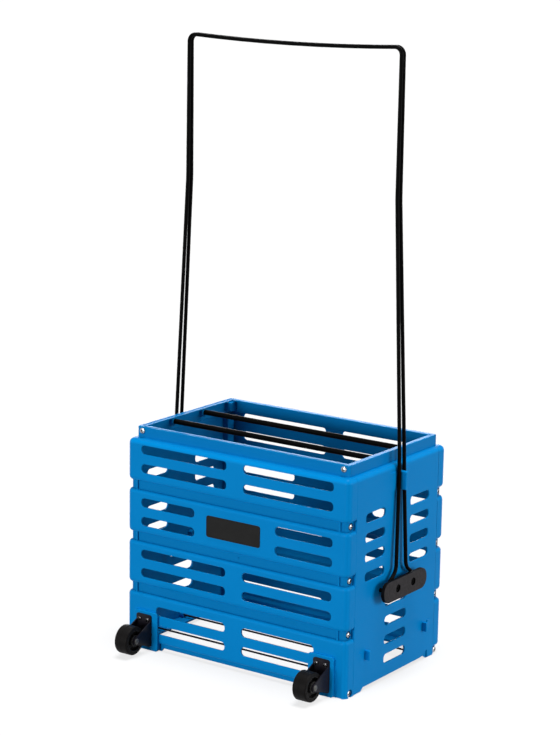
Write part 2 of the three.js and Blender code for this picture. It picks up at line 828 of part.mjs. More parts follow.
function endPanel() {
  const plate = toSolid(extruded(endSection(), 2 * endHalf).rotateX(Math.PI / 2).translate(0, endHalf, 0));
  const footEdge = endHalf - basket.endFootLength;
  const arch = archCutter(footEdge, basket.endFootRamp, plateAcrossX, 0, faceX + overrun);
  const { bosses, bores } = rodSockets();
  const { solids, holes } = pivotFittings();
  const guides = [...upperGuide(), ...lowerRests()];
  const whole = joined(plate, ...laps(), ...rimBlocks(), ...bosses, ...solids, ...guides);
  const cutters = [arch, footNotchCutter(), ...endSlotCutters(), ...endPanelPilots(), ...bores, ...holes];
  return cut(whole, ...cutters);
}

// Rods

function topRodPlaces() {
  return [-topRod.spacing / 2, topRod.spacing / 2];
}

function bottomRodPlaces() {
  const middle = (bottomRod.count - 1) / 2;
  return Array.from({ length: bottomRod.count }, (_, k) => (k - middle) * bottomRod.spacing);
}

function topRodSolid() {
  const half = rimX - topRod.seat - seam;
  return rodAlongX(topRod.diameter / 2, -half, half, 0, 0, topRod.sides);
}

function bottomRodSolid() {
  const half = halfLength - basket.wall + bottomRod.seat - seam;
  return rodAlongX(bottomRod.diameter / 2, -half, half, 0, 0, bottomRod.sides);
}

// Wire handles

// A bent wire's centre line: straight runs joined by round bends, with stations only where it turns.
class WirePath extends THREE.Curve {
  constructor(stations) {
    super();
    this.stations = stations;
  }

  getPoint(t) {
    const place = t * (this.stations.length - 1);
    const k = Math.min(Math.floor(place), this.stations.length - 2);
    return this.stations[k].clone().lerp(this.stations[k + 1], place - k);
  }

  getPointAt(u) {
    return this.getPoint(u);
  }

  getTangentAt(u) {
    const last = this.stations.length - 1;
    const k = Math.round(u * last);
    const before = this.stations[Math.max(k - 1, 0)];
    const here = this.stations[k];
    const after = this.stations[Math.min(k + 1, last)];
    const into = here.clone().sub(before).normalize();
    const out = after.clone().sub(here).normalize();
    return into.add(out).normalize();
  }
}

// Replaces each corner of a polyline that has a radius with points along a round bend.
function bent(corners, steps) {
  const stations = [];
  corners.forEach(({ point, radius }, k) => {
    if (!radius) {
      stations.push(point);
      return;
    }
    const toBefore = corners[k - 1].point.clone().sub(point).normalize();
    const toAfter = corners[k + 1].point.clone().sub(point).normalize();
    const half = toBefore.angleTo(toAfter) / 2;
    const centreWay = toBefore.clone().add(toAfter).normalize();
    const centre = point.clone().addScaledVector(centreWay, radius / Math.sin(half));
    const first = point.clone().addScaledVector(toBefore, radius / Math.tan(half)).sub(centre);
    const axis = toAfter.clone().cross(toBefore).normalize();
    for (let s = 0; s <= steps; s += 1) {
      const turnedBy = (s / steps) * (Math.PI - 2 * half);
      stations.push(first.clone().applyAxisAngle(axis, turnedBy).add(centre));
    }
  });
  return stations;
}

// The front handle's wire, from the pin inside one end panel over the top to the other.
// Each leg stands off the end panel, leans in over the rim up to an elbow and rises upright from there.
function handleStations() {
  const h = handle;
  const bowPoints = 3;
  const pivot = -pivotY;
  const low = faceX + h.standoff;
  const high = faceX + h.shoulderStandoff;
  const guideShare = (guideCentre - waistHeight) / (h.shoulderHeight - waistHeight);
  const elbowShare = (h.elbowHeight - h.shoulderHeight) / (h.topHeight - h.shoulderHeight);
  const elbowGap = h.shoulderSpan + (h.topGap - h.shoulderSpan) * elbowShare;
  const leg = [
    { point: new THREE.Vector3(faceX - h.pinReach, pivot, pivotHeight) },
    { point: new THREE.Vector3(low, pivot, pivotHeight), radius: h.pivotRadius },
    { point: new THREE.Vector3(low, -h.waistSpan / 2, waistHeight), radius: h.waistRadius },
    { point: new THREE.Vector3(low + (high - low) * guideShare, -h.guideSpan / 2, guideCentre) },
    { point: new THREE.Vector3(high, -h.shoulderSpan / 2, h.shoulderHeight) },
    { point: new THREE.Vector3(h.topSpan / 2, -elbowGap / 2, h.elbowHeight) },
    { point: new THREE.Vector3(h.topSpan / 2, -h.topGap / 2, h.topHeight), radius: h.topRadius },
  ];
  const bow = Array.from({ length: bowPoints }, (_, k) => {
    const across = ((k + 1) / (bowPoints + 1)) * 2 - 1;
    const dip = h.topBow * (1 - across * across);
    return { point: new THREE.Vector3(-across * h.topSpan / 2, -h.topGap / 2, h.topHeight - dip) };
  });
  const mirrored = leg.map(({ point, radius }) => ({
    point: new THREE.Vector3(-point.x, point.y, point.z),
    radius,
  }));
  return bent([...leg, ...bow, ...mirrored.reverse()], h.bendSteps);
}

function handleSolid() {
  const stations = handleStations();
  const round = Array.from({ length: handle.sides }, (_, k) => {
    const angle = (2 * Math.PI * k) / handle.sides;
    return new THREE.Vector2(Math.cos(angle), Math.sin(angle)).multiplyScalar(handle.wireDiameter / 2);
  });
  const along = { steps: stations.length - 1, extrudePath: new WirePath(stations) };
  return toSolid(new THREE.ExtrudeGeometry(new THREE.Shape(round), along));
}

// The push-on cap that keeps a wire's end in its hole, a cup with its mouth towards the panel.
function retainerSolid() {
  const bore = handle.wireDiameter / 2 + retainer.boreClearance;
  const outer = retainer.diameter / 2;
  const depth = pinDepth() + retainer.endCover + retainer.boreClearance;
  const neck = bore + retainer.thickness;
  return turned([
    [0, -depth],
    [neck, -depth],
    [neck, -retainer.thickness],
    [outer, -retainer.thickness],
    [outer, 0],
    [bore, 0],
    [bore, retainer.endCover - depth],
    [0, retainer.endCover - depth],
  ], retainer.sides);
}

// How far a wire's end stands out of the mouth of its cap's seat inside the panel.
function pinDepth() {
  return handle.pinReach - basket.wall - pivotBoss.inward - seam;
}

// Bracket plate

// A flat stadium of black plastic with rounded edges and two counterbored holes.
function bracketSolid() {
  const { height, overhang, edgeRound } = bracket;
  const length = 2 * (pivotY + overhang);
  const layer = (shrink, from, to) => {
    const [w, h] = [length - 2 * shrink, height - 2 * shrink];
    const radius = bracket.cornerRadius - shrink;
    const outline = roundedOutline(0, pivotHeight - bracket.drop, w, h, radius, plateSteps);
    return plateAcrossX(outline, from, to);
  };
  const body = layer(0, bracketBack, bracketFront - edgeRound);
  const crown = layer(edgeRound, bracketFront - edgeRound - overlap, bracketFront);
  const holes = [-1, 1].flatMap((side) => {
    const y = side * bracketScrewY;
    const z = pivotHeight;
    const clear = screw.shankDiameter / 2 + screwClearance;
    const sunk = screw.headDiameter / 2 + bracket.counterboreClearance;
    const seat = bracketFront - bracket.counterboreDepth;
    return [
      rodAlongX(clear, bracketBack - overrun, bracketFront + overrun, y, z, screw.holeSides),
      rodAlongX(sunk, seat, bracketFront + overrun, y, z, standoffPost.sides),
    ];
  });
  return cut(body.add(crown), ...holes);
}

// Screws

// A pan-headed screw along X: the head's underside is at zero and the shank runs to -X.
function screwSolid({ headDiameter, crownDiameter, headHeight, shankDiameter, sides }, shank) {
  return turned([
    [0, -shank],
    [shankDiameter / 2, -shank],
    [shankDiameter / 2, 0],
    [headDiameter / 2, 0],
    [crownDiameter / 2, headHeight],
    [0, headHeight],
  ], sides);
}

// Wheels and forks

function forkScrewPlaces() {
  return [-1, 1].flatMap((side) => [
    [side * fork.screwSpan / 2, fork.upperScrews],
    [side * fork.screwSpan / 2, fork.lowerScrews],
  ]);
}

// A pressed steel fork about its own middle: a plate on the panel's boss and two tapering legs.
function forkSolid() {
  const { width, sheet, plateBottom, plateTop, legTop, eyeRadius, cornerRadius } = fork;
  const back = -bossFace - seam;
  const tall = plateTop - plateBottom;
  const plateOutline = roundedOutline(0, plateBottom + tall / 2, width, tall, cornerRadius, slotSteps);
  const plate = plateAcrossY(plateOutline, back - sheet, back);
  const legPoints = [[back, plateBottom + sheet], [back, legTop], [back - fork.topReach, legTop]];
  for (let s = 0; s <= fork.eyeSteps; s += 1) {
    const angle = fork.eyeStartTurn + (s / fork.eyeSteps) * fork.eyeSweep;
    legPoints.push([eyeRadius * Math.cos(angle) - axleY, axleHeight + eyeRadius * Math.sin(angle)]);
  }
  const legOutline = legPoints.map(([y, z]) => new THREE.Vector2(y, z));
  const legs = [-1, 1].map((side) => plateAcrossX(legOutline, side * (width / 2 - sheet), side * width / 2));
  const axleHole = axle.diameter / 2 + fork.eyeClearance;
  const screwHole = forkScrew.shankDiameter / 2 + screwClearance;
  const holes = [
    rodAlongX(axleHole, -width, width, -axleY, axleHeight, axle.sides),
    ...forkScrewPlaces().map(([x, z]) => (
      rodAlongY(screwHole, back - sheet - overrun, back + overrun, x, z, forkScrew.holeSides)
    )),
  ];
  return cut(joined(plate, ...legs), ...holes);
}

// The tread, a ring with rounded shoulders.
function tyreSolid() {
  const { diameter, width, treadDepth, edgeRound, sides } = wheel;
  const [outer, inner, half] = [diameter / 2, diameter / 2 - treadDepth, width / 2];
  return turned([
    [inner, -half],
    [outer - edgeRound, -half],
    [outer, edgeRound - half],
    [outer, half - edgeRound],
    [outer - edgeRound, half],
    [inner, half],
    [inner, -half],
  ], sides);
}

// The core: a rim that fills the tread, a thinner web and a hub as wide as the fork allows.
function coreSolid() {
  const { diameter, width, treadDepth, sideRecess, hubDiameter, coreGap, boreClearance } = wheel;
  const outer = diameter / 2 - treadDepth - coreGap;
  const lip = outer - sideRecess / 2;
  const hub = hubDiameter / 2;
  const bore = axle.diameter / 2 + boreClearance;
  const half = width / 2;
  const web = half - sideRecess;
  const right = [[bore, half], [hub, half], [hub, web], [lip, web], [lip, half], [outer, half]];
  const left = right.map(([r, x]) => [r, -x]).reverse();
  return turned([...right, ...left, right[0]], wheel.coreSides);
}

// The axle, a headed pin through both legs with its far end upset.
function axleSolid() {
  const half = fork.width / 2 + fork.eyeClearance;
  const head = axle.headDiameter / 2;
  const stem = axle.diameter / 2;
  return turned([
    [0, -half - axle.headThickness],
    [head, -half - axle.headThickness],
    [head, -half],
    [stem, -half],
    [stem, half],
    [head, half],
    [head, half + axle.headThickness / 2],
    [head - axle.headThickness / 2, half + axle.headThickness],
    [0, half + axle.headThickness],
  ], axle.sides);
}

// Assembly

const cart = new THREE.Group();
const frontReach = axleY + wheel.diameter / 2;
cart.position.y = (frontReach - halfWidth) / 2;

const asBuilt = () => {};

function add(name, solid, material, place = asBuilt) {
  const mesh = new THREE.Mesh(toGeometry(solid), material);
  mesh.name = name;
  place(mesh);
  cart.add(mesh);
}

const halfTurn = (mesh) => {
  mesh.rotation.z = Math.PI;
};

const placedAt = (x, y, z) => (mesh) => {
  mesh.position.set(x, y, z);
};

// Panels
add('front_panel', frontPanel(), bluePlastic());
add('rear_panel', rearPanel(), bluePlastic(), halfTurn);
add('right_end_panel', endPanel(), bluePlastic());
add('left_end_panel', endPanel(), bluePlastic(), halfTurn);

// Rods
topRodPlaces().forEach((y, k) => {
  add(`${['front', 'rear'][k]}_top_rod`, topRodSolid(), blackSteel(), placedAt(0, y, topRodHeight));
});
bottomRodPlaces().forEach((y, k) => {
  add(`bottom_rod_${k + 1}`, bottomRodSolid(), blackSteel(), placedAt(0, y, bottomRod.height));
});

// Handles and the caps on their ends
['front', 'rear'].forEach((name, k) => {
  add(`${name}_handle`, handleSolid(), blackWire(), k ? halfTurn : undefined);
  [['right', 1], ['left', -1]].forEach(([side, sign]) => {
    add(`${name}_${side}_handle_cap`, retainerSolid(), blackPlastic(), (mesh) => {
      const x = faceX - basket.wall - pivotBoss.inward - seam;
      mesh.rotation.z = sign > 0 ? 0 : Math.PI;
      mesh.position.set(sign * x, (k ? 1 : -1) * pivotY, pivotHeight);
    });
  });
});

// Pivot brackets and their screws
[['right', 1], ['left', -1]].forEach(([side, sign]) => {
  add(`${side}_pivot_bracket`, bracketSolid(), blackPlastic(), sign < 0 ? halfTurn : undefined);
  [['front', -1], ['rear', 1]].forEach(([end, along]) => {
    add(`${side}_bracket_${end}_screw`, screwSolid(screw, screw.longShank), blackSteel(), (mesh) => {
      const x = bracketFront - bracket.counterboreDepth + seam;
      mesh.rotation.z = sign > 0 ? 0 : Math.PI;
      mesh.position.set(sign * x, along * bracketScrewY, pivotHeight);
    });
  });
});

// Corner screws: four along X and one along Y at each corner
[['front', -1], ['rear', 1]].forEach(([face, along]) => {
  [['right', 1], ['left', -1]].forEach(([side, sign]) => {
    cornerScrewHeights.forEach((z, k) => {
      const inset = k < grooveCentres.length ? bands.grooveDepth + cornerScrews.sink : skirt.inset;
      add(`${face}_${side}_corner_screw_${k + 1}`, screwSolid(screw, screw.longShank), plating(), (mesh) => {
        mesh.rotation.z = sign > 0 ? 0 : Math.PI;
        mesh.position.set(sign * (halfLength - inset + seam), along * screwY, z);
      });
    });
    add(`${face}_${side}_rim_screw`, screwSolid(screw, screw.shortShank), plating(), (mesh) => {
      mesh.rotation.z = along * Math.PI / 2;
      const x = sign * (halfLength - cornerScrews.rimSetback);
      mesh.position.set(x, along * (rimY + seam), basket.height - cornerScrews.rimDrop);
    });
  });
});

// Wheels, forks, axles and fork screws
[['right', 1], ['left', -1]].forEach(([side, sign]) => {
  const x = sign * wheelX;
  add(`${side}_wheel_fork`, forkSolid(), blackSteel(), placedAt(x, 0, 0));
  const onAxle = placedAt(x, -axleY, axleHeight);
  add(`${side}_tyre`, tyreSolid(), tyreRubber(), onAxle);
  add(`${side}_wheel_core`, coreSolid(), hubPlastic(), onAxle);
  add(`${side}_axle`, axleSolid(), blackSteel(), onAxle);
  forkScrewPlaces().forEach(([dx, z], k) => {
    add(`${side}_fork_screw_${k + 1}`, screwSolid(forkScrew, forkScrew.shank), blackSteel(), (mesh) => {
      mesh.rotation.z = -Math.PI / 2;
      mesh.position.set(x + dx, -bossFace - 2 * seam - fork.sheet, z);
    });
  });
});

export default cart;
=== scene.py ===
# %% [markdown]
# This lesson dresses a basket for tennis balls that stands on four feet, rolls on two small
# wheels and is carried by two bent wires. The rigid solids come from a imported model, which is
# loaded as a fixed frame. The real basket is moulded, bent and pressed, so it has soft edges
# everywhere, and those are what this script adds: each plain solid gets a finer piece in its place.

import json
import math

import bmesh
import bpy
from mathutils import Matrix, Vector


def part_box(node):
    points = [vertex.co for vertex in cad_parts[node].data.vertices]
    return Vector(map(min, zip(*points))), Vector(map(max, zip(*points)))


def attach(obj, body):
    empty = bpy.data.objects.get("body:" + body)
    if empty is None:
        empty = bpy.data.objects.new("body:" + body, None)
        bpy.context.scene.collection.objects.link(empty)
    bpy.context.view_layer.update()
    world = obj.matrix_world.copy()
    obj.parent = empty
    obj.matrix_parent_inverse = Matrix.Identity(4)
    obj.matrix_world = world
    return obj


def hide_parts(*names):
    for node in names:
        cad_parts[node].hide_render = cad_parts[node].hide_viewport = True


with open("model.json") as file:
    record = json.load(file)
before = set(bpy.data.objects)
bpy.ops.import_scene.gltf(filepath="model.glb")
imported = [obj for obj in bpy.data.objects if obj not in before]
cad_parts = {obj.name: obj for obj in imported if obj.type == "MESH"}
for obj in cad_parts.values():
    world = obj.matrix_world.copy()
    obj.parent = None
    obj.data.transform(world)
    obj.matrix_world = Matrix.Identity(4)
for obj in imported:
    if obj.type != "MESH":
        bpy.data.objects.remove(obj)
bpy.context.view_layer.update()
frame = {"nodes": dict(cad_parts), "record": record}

# %% [markdown]
# The drawing of the basket is in millimetres, with its origin under the middle of the basket. That
# keeps the numbers readable. The frame is in metres and its origin lies a little further forward,
# because the wheels stand out at the front, so each finished mesh is scaled and shifted once, at
# the very end. The large sizes are read from the frame, and the small ones are written here.

# %% Sizes of the basket, in millimetres
MM = 0.001
SIDES = (-1, 1)
QUADRANTS = ((1, 1), (-1, 1), (-1, -1), (1, -1))
RIGHT_LEFT = ((1, "right"), (-1, "left"))
FRONT_REAR = ((1, "front"), (-1, "rear"))
end_low, end_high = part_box("right_end_panel")
rear_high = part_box("rear_panel")[1]
middle_y = (end_low.y + end_high.y) / 2
half_x = rear_high.x / MM
half_y = (rear_high.y - middle_y) / MM
height = rear_high.z / MM
wall = 3.0
corner_radius = 8.0
ground_gap = 4.5
seam = 0.3
return_end = half_y - 18.4
end_half = return_end - seam
print("half length, half width, height:", [round(v, 2) for v in (half_x, half_y, height)])

# %% Sizes of the bands, the grooves and the rim
ledge = height - 15
ledge_radius = 7.0
groove_depth = 4.4
groove_mouth = 23.0
groove_floor = 11.6
groove_pitch = 70.4
highest_groove = height - 77.2
groove_centres = [highest_groove - groove_pitch * k for k in range(3)]
lowest_edge = 14.5
skirt_inset = 3.9
skirt_top = 10.3
rim_inset_x = 8.1
rim_inset_y = 11.9
rim_x = half_x - rim_inset_x
rim_y = half_y - rim_inset_y
rim_wall = 3.0
rim_round = 0.9
rim_corner = 2.5
rim_edge = 0.8
flange_width = 8.0
flange_under = height - 2.4
print("grooves at", [round(z, 1) for z in groove_centres])

# %% [markdown]
# A piece of a moulding or a pressing is easiest to think of as an outline pushed through a
# distance, or a profile turned round an axis. The helpers here make both as bare lists of points
# and faces, called shells. An outline has two coordinates. Pushed along X they are Y and Z, along Y
# they are X and Z, and along Z they are X and Y.

# %% Outlines
round_steps = 6


def rounded_outline(across, up, width, tall, radius, steps=round_steps):
    points = []
    for turn, (side, end) in enumerate(QUADRANTS):
        for step in range(steps + 1):
            angle = (turn + step / steps) * math.pi / 2
            points.append((
                across + side * (width / 2 - radius) + radius * math.cos(angle),
                up + end * (tall / 2 - radius) + radius * math.sin(angle),
            ))
    return points


def quarter(steps=round_steps):
    """Angles from zero to a right angle."""
    return [step / steps * math.pi / 2 for step in range(steps + 1)]


def circle(across, up, radius, sides):
    turns = [2 * math.pi * k / sides for k in range(sides)]
    return [(across + radius * math.cos(turn), up + radius * math.sin(turn)) for turn in turns]


def arc(across, up, radius, start, end, steps=round_steps):
    turns = [math.radians(start + (end - start) * k / steps) for k in range(steps + 1)]
    return [(across + radius * math.cos(turn), up + radius * math.sin(turn)) for turn in turns]


print("a circle has", len(circle(0, 0, 1, 24)), "points, and a quarter", len(quarter()))


# %% Shells from outlines
def stacked(levels):
    """Joins closed rings of points, one above the other, and closes both ends."""
    count = len(levels[0])
    points = [point for level in levels for point in level]
    faces = [list(range(count)), list(range(len(points) - count, len(points)))]
    for base in range(0, len(points) - count, count):
        for k in range(count):
            after = (k + 1) % count
            faces.append((base + k, base + after, base + count + after, base + count + k))
    return points, faces


def placed(outline, station, axis):
    """Sets an outline across an axis, at a station along it."""
    spot = "XYZ".index(axis)
    return [(*pair[:spot], station, *pair[spot:]) for pair in outline]


def prism(outline, start, stop, axis):
    return stacked([placed(outline, station, axis) for station in sorted((start, stop))])


# %% Blocks, rods and cushions
def block(x_range, y_range, z_range):
    (x0, x1), (y0, y1) = sorted(x_range), sorted(y_range)
    return prism([(x0, y0), (x1, y0), (x1, y1), (x0, y1)], *z_range, "Z")


def rod(radius, start, stop, across, up, axis="X", sides=24):
    return prism(circle(across, up, radius, sides), start, stop, axis)


def rods(radius, start, stop, seats, axis="X", sides=24):
    """Rods of one size on several seats, each given as (across, up)."""
    return together(*[rod(radius, start, stop, across, up, axis, sides) for across, up in seats])


def cushioned(across, up, width, tall, radius, base, top, edge, axis):
    """A block with a rounded outline whose edges at the top are rounded too."""
    levels = [placed(rounded_outline(across, up, width, tall, radius), base, axis)]
    way = math.copysign(1, top - base)
    for angle in quarter():
        shrink = edge * (1 - math.cos(angle))
        ring = rounded_outline(across, up, width - 2 * shrink, tall - 2 * shrink, max(radius - shrink, 0.05))
        levels.append(placed(ring, top - way * edge * (1 - math.sin(angle)), axis))
    return stacked(levels)


# %% Turned shells
def turned(profile, sides, place=(0, 0, 0), closed=False):
    """Turns (radius, x) points round the X axis. An open profile starts and ends on the axis."""
    rings = [
        [(place[0] + x, place[1] + y, place[2] + z) for y, z in circle(0, 0, radius, sides)]
        for radius, x in profile
    ]
    points = [point for ring in rings for point in ring]
    faces = []
    for ring in range(len(rings) if closed else len(rings) - 1):
        a, b = ring * sides, (ring + 1) % len(rings) * sides
        faces += [(a + k, a + (k + 1) % sides, b + (k + 1) % sides, b + k) for k in range(sides)]
    return points, faces


def together(*shells):
    """Puts shells that don't touch into one."""
    points, faces = [], []
    for more_points, more_faces in shells:
        faces += [[k + len(points) for k in face] for face in more_faces]
        points += more_points
    return points, faces


print("a rod has", len(rod(1, 0, 1, 0, 0)[1]), "faces")

# %% [markdown]
# A shell becomes an object here. Doubles are merged, which closes the tips of turned shapes, and the
# faces are made to look outwards. Unions and cuts are Boolean modifiers, and what a stack of
# modifiers makes is kept as a plain mesh.

# %% Objects from shells
def linked(name, data):
    piece = bpy.data.objects.new(name, data)
    bpy.context.scene.collection.objects.link(piece)
    return piece


def shaped(shell, name="blank"):
    mesh = bpy.data.meshes.new(name)
    mesh.from_pydata(shell[0], [], shell[1])
    work = bmesh.new()
    work.from_mesh(mesh)
    bmesh.ops.remove_doubles(work, verts=work.verts, dist=1e-4)
    bmesh.ops.recalc_face_normals(work, faces=work.faces)
    work.to_mesh(mesh)
    work.free()
    return linked(name, mesh)


def plain(piece):
    """Keeps what the piece's modifiers make as its own mesh."""
    evaluated = piece.evaluated_get(bpy.context.evaluated_depsgraph_get())
    made = bpy.data.meshes.new_from_object(evaluated)
    before = piece.data
    piece.modifiers.clear()
    piece.data = made
    bpy.data.meshes.remove(before)
    return piece


# %% Unions and cuts
def joins(*shells):
    return [("UNION", shell) for shell in shells]


def cuts(*shells):
    return [("DIFFERENCE", shell) for shell in shells]


def worked(piece, steps):
    """Adds and cuts shells, in the order given."""
    tools = []
    for operation, shell in steps:
        tool = shaped(shell, "tool")
        change = piece.modifiers.new(operation, "BOOLEAN")
        change.operation = operation
        change.solver = "EXACT"
        change.object = tool
        tools.append(tool)
    plain(piece)
    for tool in tools:
        spent = tool.data
        bpy.data.objects.remove(tool)
        bpy.data.meshes.remove(spent)
    return piece


print("steps are made as", [operation for operation, _ in joins(None) + cuts(None)])

# %% [markdown]
# Where two faces of a moulding meet, the tool leaves a small round. A Bevel modifier can make it,
# but only where it is asked to: on a whole panel it would also catch the tiny edges that a boolean
# leaves. So the edges are chosen by a rule. They are the sharp outward ones that lie in given
# planes, such as the outer and the inner face of a wall. Weighted normals then keep the broad flat
# faces flat beside the small rounds.

# %% Soft edges and smooth shading
sharp_turn = math.radians(50)


def softened(piece, width, planes, steps=3, reach=0.02):
    """Rounds the outward edges that lie in the planes, given as (axis, station)."""
    work = bmesh.new()
    work.from_mesh(piece.data)
    weights = work.edges.layers.float.new("bevel_weight_edge")
    chosen = 0
    for edge in work.edges:
        if len(edge.link_faces) != 2 or edge.calc_face_angle_signed() < sharp_turn:
            continue
        if any(all(abs(v.co[axis] - station) < reach for v in edge.verts) for axis, station in planes):
            edge[weights] = 1
            chosen += 1
    work.to_mesh(piece.data)
    work.free()
    bevel = piece.modifiers.new("soft edges", "BEVEL")
    bevel.limit_method = "WEIGHT"
    bevel.width = width
    bevel.segments = steps
    bevel.use_clamp_overlap = False
    plain(piece)
    return chosen


# %% Smooth shading and turning
def shaded(piece, sharp_from=38):
    piece.data.shade_smooth()
    piece.data.set_sharp_from_angle(angle=math.radians(sharp_from))
    weighing = piece.modifiers.new("flat faces stay flat", "WEIGHTED_NORMAL")
    weighing.keep_sharp = True
    return plain(piece)


def turned_for(side, piece):
    """The left and rear pieces are the right and front ones, turned half round."""
    if side < 0:
        piece.data.transform(Matrix.Rotation(math.pi, 4, "Z"))
    return piece


print("edges may be rounded where they turn by", round(math.degrees(sharp_turn)), "degrees or more")


# %% Bring a finished piece into the frame
def clothe(piece, look):
    piece.data.materials.clear()
    piece.data.materials.append(finishes[look])


def settle(piece, name, body, slot, *nodes, look=None):
    """Nodes are the solids that the piece replaces. Its look is its slot's finish, or another."""
    piece.name = piece.data.name = name
    piece.data.transform(Matrix.Translation((0, middle_y, 0)) @ Matrix.Scale(MM, 4))
    clothe(piece, look or finish_of_slot[slot])
    if nodes:
        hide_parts(*nodes)
    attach(piece, body)
    print(name, "has", len(piece.data.polygons), "faces")


# %% [markdown]
# Materials and Geometry Nodes are both trees of nodes, so one helper adds a node to either. It is
# told what feeds each socket: an output of another node, a list of outputs, or a value.

# %% Helpers for nodes
def feed(tree, node, sources):
    for label, source in sources.items():
        socket = node.inputs[label]
        if isinstance(source, bpy.types.NodeSocket):
            source = [source]
        if isinstance(source, list):
            for output in source:
                tree.links.new(output, socket)
        else:
            socket.default_value = source


def add_node(tree, kind, sources=None, **settings):
    """Adds a node and gives its outputs."""
    node = tree.nodes.new(kind)
    for setting, value in settings.items():
        setattr(node, setting, value)
    feed(tree, node, sources or {})
    return node.outputs


def maths(tree, operation, *values):
    return add_node(tree, "ShaderNodeMath", dict(enumerate(values)), operation=operation)[0]


def spread(tree, value, low, high, at_low, at_high):
    """Maps the range from low to high onto the range from at_low to at_high."""
    limits = {"Value": value, "From Min": low, "From Max": high, "To Min": at_low, "To Max": at_high}
    return add_node(tree, "ShaderNodeMapRange", limits)["Result"]


# %% [markdown]
# Every finish is procedural. Its colour wanders a little between two near shades, its roughness
# wanders too, and its surface has a fine grain. The patterns read Object coordinates, so they stay
# put when a piece moves.

# %% A helper for finishes
grain_height = 0.2 * MM


def finish(name, shade, other_shade, smooth, rough, patch_scale, grain_scale, grain, gloss, metallic=0.0):
    material = bpy.data.materials.new(name)
    material.use_nodes = True
    tree = material.node_tree
    place = add_node(tree, "ShaderNodeTexCoord")["Object"]
    patches, fine = [
        add_node(tree, "ShaderNodeTexNoise", {"Vector": place, "Scale": scale, "Detail": detail})["Fac"]
        for scale, detail in ((patch_scale, 5), (grain_scale, 3))
    ]
    shades = {"Factor": patches, "A": (*shade, 1), "B": (*other_shade, 1)}
    relief = {"Strength": grain, "Distance": grain_height, "Height": fine}
    feed(tree, tree.nodes["Principled BSDF"], {
        "Base Color": add_node(tree, "ShaderNodeMix", shades, data_type="RGBA")["Result"],
        "Roughness": spread(tree, patches, 0.0, 1.0, smooth, rough),
        "Normal": add_node(tree, "ShaderNodeBump", relief)["Normal"],
        "Specular IOR Level": gloss,
        "Metallic": metallic,
    })
    print(name, "has", len(tree.nodes), "nodes")
    return material


# %% [markdown]
# The panels are polypropylene, dyed bright blue right through, with the faint satin skin of a
# mould. The wires are steel dipped in black plastic. The plates over the pivots are a dull charcoal
# plastic, the forks are painted sheet, the wheels are rubber on a hard core, and the screws are
# zinc plated. A row holds two shades, the least and the most roughness, the scales of the patches
# and of the grain, the strength of the grain, the gloss, and 1 for a metal.

# %% The finishes
finish_rows = {
    "blue_moulding": ((0.0, 0.21, 0.56), (0.0, 0.24, 0.62), 0.32, 0.44, 12, 900, 0.06, 0.04),
    "coated_wire": ((0.001, 0.001, 0.001), (0.003, 0.003, 0.003), 0.3, 0.4, 60, 1200, 0.08, 0.02),
    "charcoal_plate": ((0.004, 0.004, 0.004), (0.052, 0.048, 0.052), 0.45, 0.62, 300, 1500, 0.2, 0.05),
    "black_paint": ((0.006, 0.005, 0.008), (0.014, 0.012, 0.018), 0.24, 0.38, 80, 1400, 0.12, 0.12),
    "wheel_rubber": ((0.003, 0.003, 0.003), (0.007, 0.006, 0.006), 0.4, 0.55, 110, 1600, 0.35, 0.05),
    "worn_cap": ((0.045, 0.045, 0.042), (0.11, 0.11, 0.105), 0.3, 0.45, 300, 1500, 0.15, 0.25),
    "dark_steel": ((0.05, 0.05, 0.05), (0.10, 0.10, 0.11), 0.2, 0.32, 200, 2500, 0.05, 0.5, 1.0),
    "core_plastic": ((0.014, 0.013, 0.013), (0.034, 0.033, 0.034), 0.36, 0.5, 90, 1500, 0.15, 0.08),
    "zinc_plate": ((0.30, 0.31, 0.33), (0.46, 0.47, 0.49), 0.18, 0.3, 200, 2500, 0.05, 0.5, 1.0),
    "label_film": ((0.010, 0.010, 0.010), (0.016, 0.016, 0.016), 0.28, 0.38, 70, 1800, 0.05, 0.08),
}
# A copy of the zinc finish, which gets painted shade where the screws sit in the groove pockets.
finish_rows["sunk_zinc"] = finish_rows["zinc_plate"]
finishes = {name: finish(name, *row) for name, row in finish_rows.items()}
print("finishes:", len(finishes))

# %% [markdown]
# The colours get painted shade where a real moulding gets less light: each colour is darkened by
# depth below the outer faces, and on faces that look into the basket. The plates over the pivots keep
# their paler colour only on their outer face. Their sides are darkened almost to black, and so are
# their pits, where this is painted shade.

# %% Painted shade in the recesses and inside the basket
def painted_shade_by_depth(look, shallow, deep, floor_share, inner_share=1.0):
    """Paints shade: scales the colour down to floor_share at a depth in mm, and to inner_share on inward
    faces.
    """
    tree = finishes[look].node_tree
    colour = tree.nodes["Principled BSDF"].inputs["Base Color"]
    place = add_node(tree, "ShaderNodeTexCoord")
    flatten = {0: place["Object"], 1: (1, 1, 0), 2: (0, -middle_y, 0)}
    flat = add_node(tree, "ShaderNodeVectorMath", flatten, operation="MULTIPLY_ADD")[0]
    parts = add_node(tree, "ShaderNodeSeparateXYZ", {0: flat})
    depths = [
        maths(tree, "SUBTRACT", half * MM, maths(tree, "ABSOLUTE", parts[axis]))
        for axis, half in (("X", half_x), ("Y", half_y))
    ]
    by_depth = spread(tree, maths(tree, "MINIMUM", *depths), shallow * MM, deep * MM, 1.0, floor_share)
    outward = add_node(tree, "ShaderNodeVectorMath", {0: place["Normal"], 1: flat}, operation="DOT_PRODUCT")
    by_facing = spread(tree, outward["Value"], -30 * MM, 0.0, inner_share, 1.0)
    scaling = {0: colour.links[0].from_socket, "Scale": maths(tree, "MULTIPLY", by_depth, by_facing)}
    tree.links.new(add_node(tree, "ShaderNodeVectorMath", scaling, operation="SCALE")[0], colour)
    print(look, "goes down to", floor_share, "of its colour")


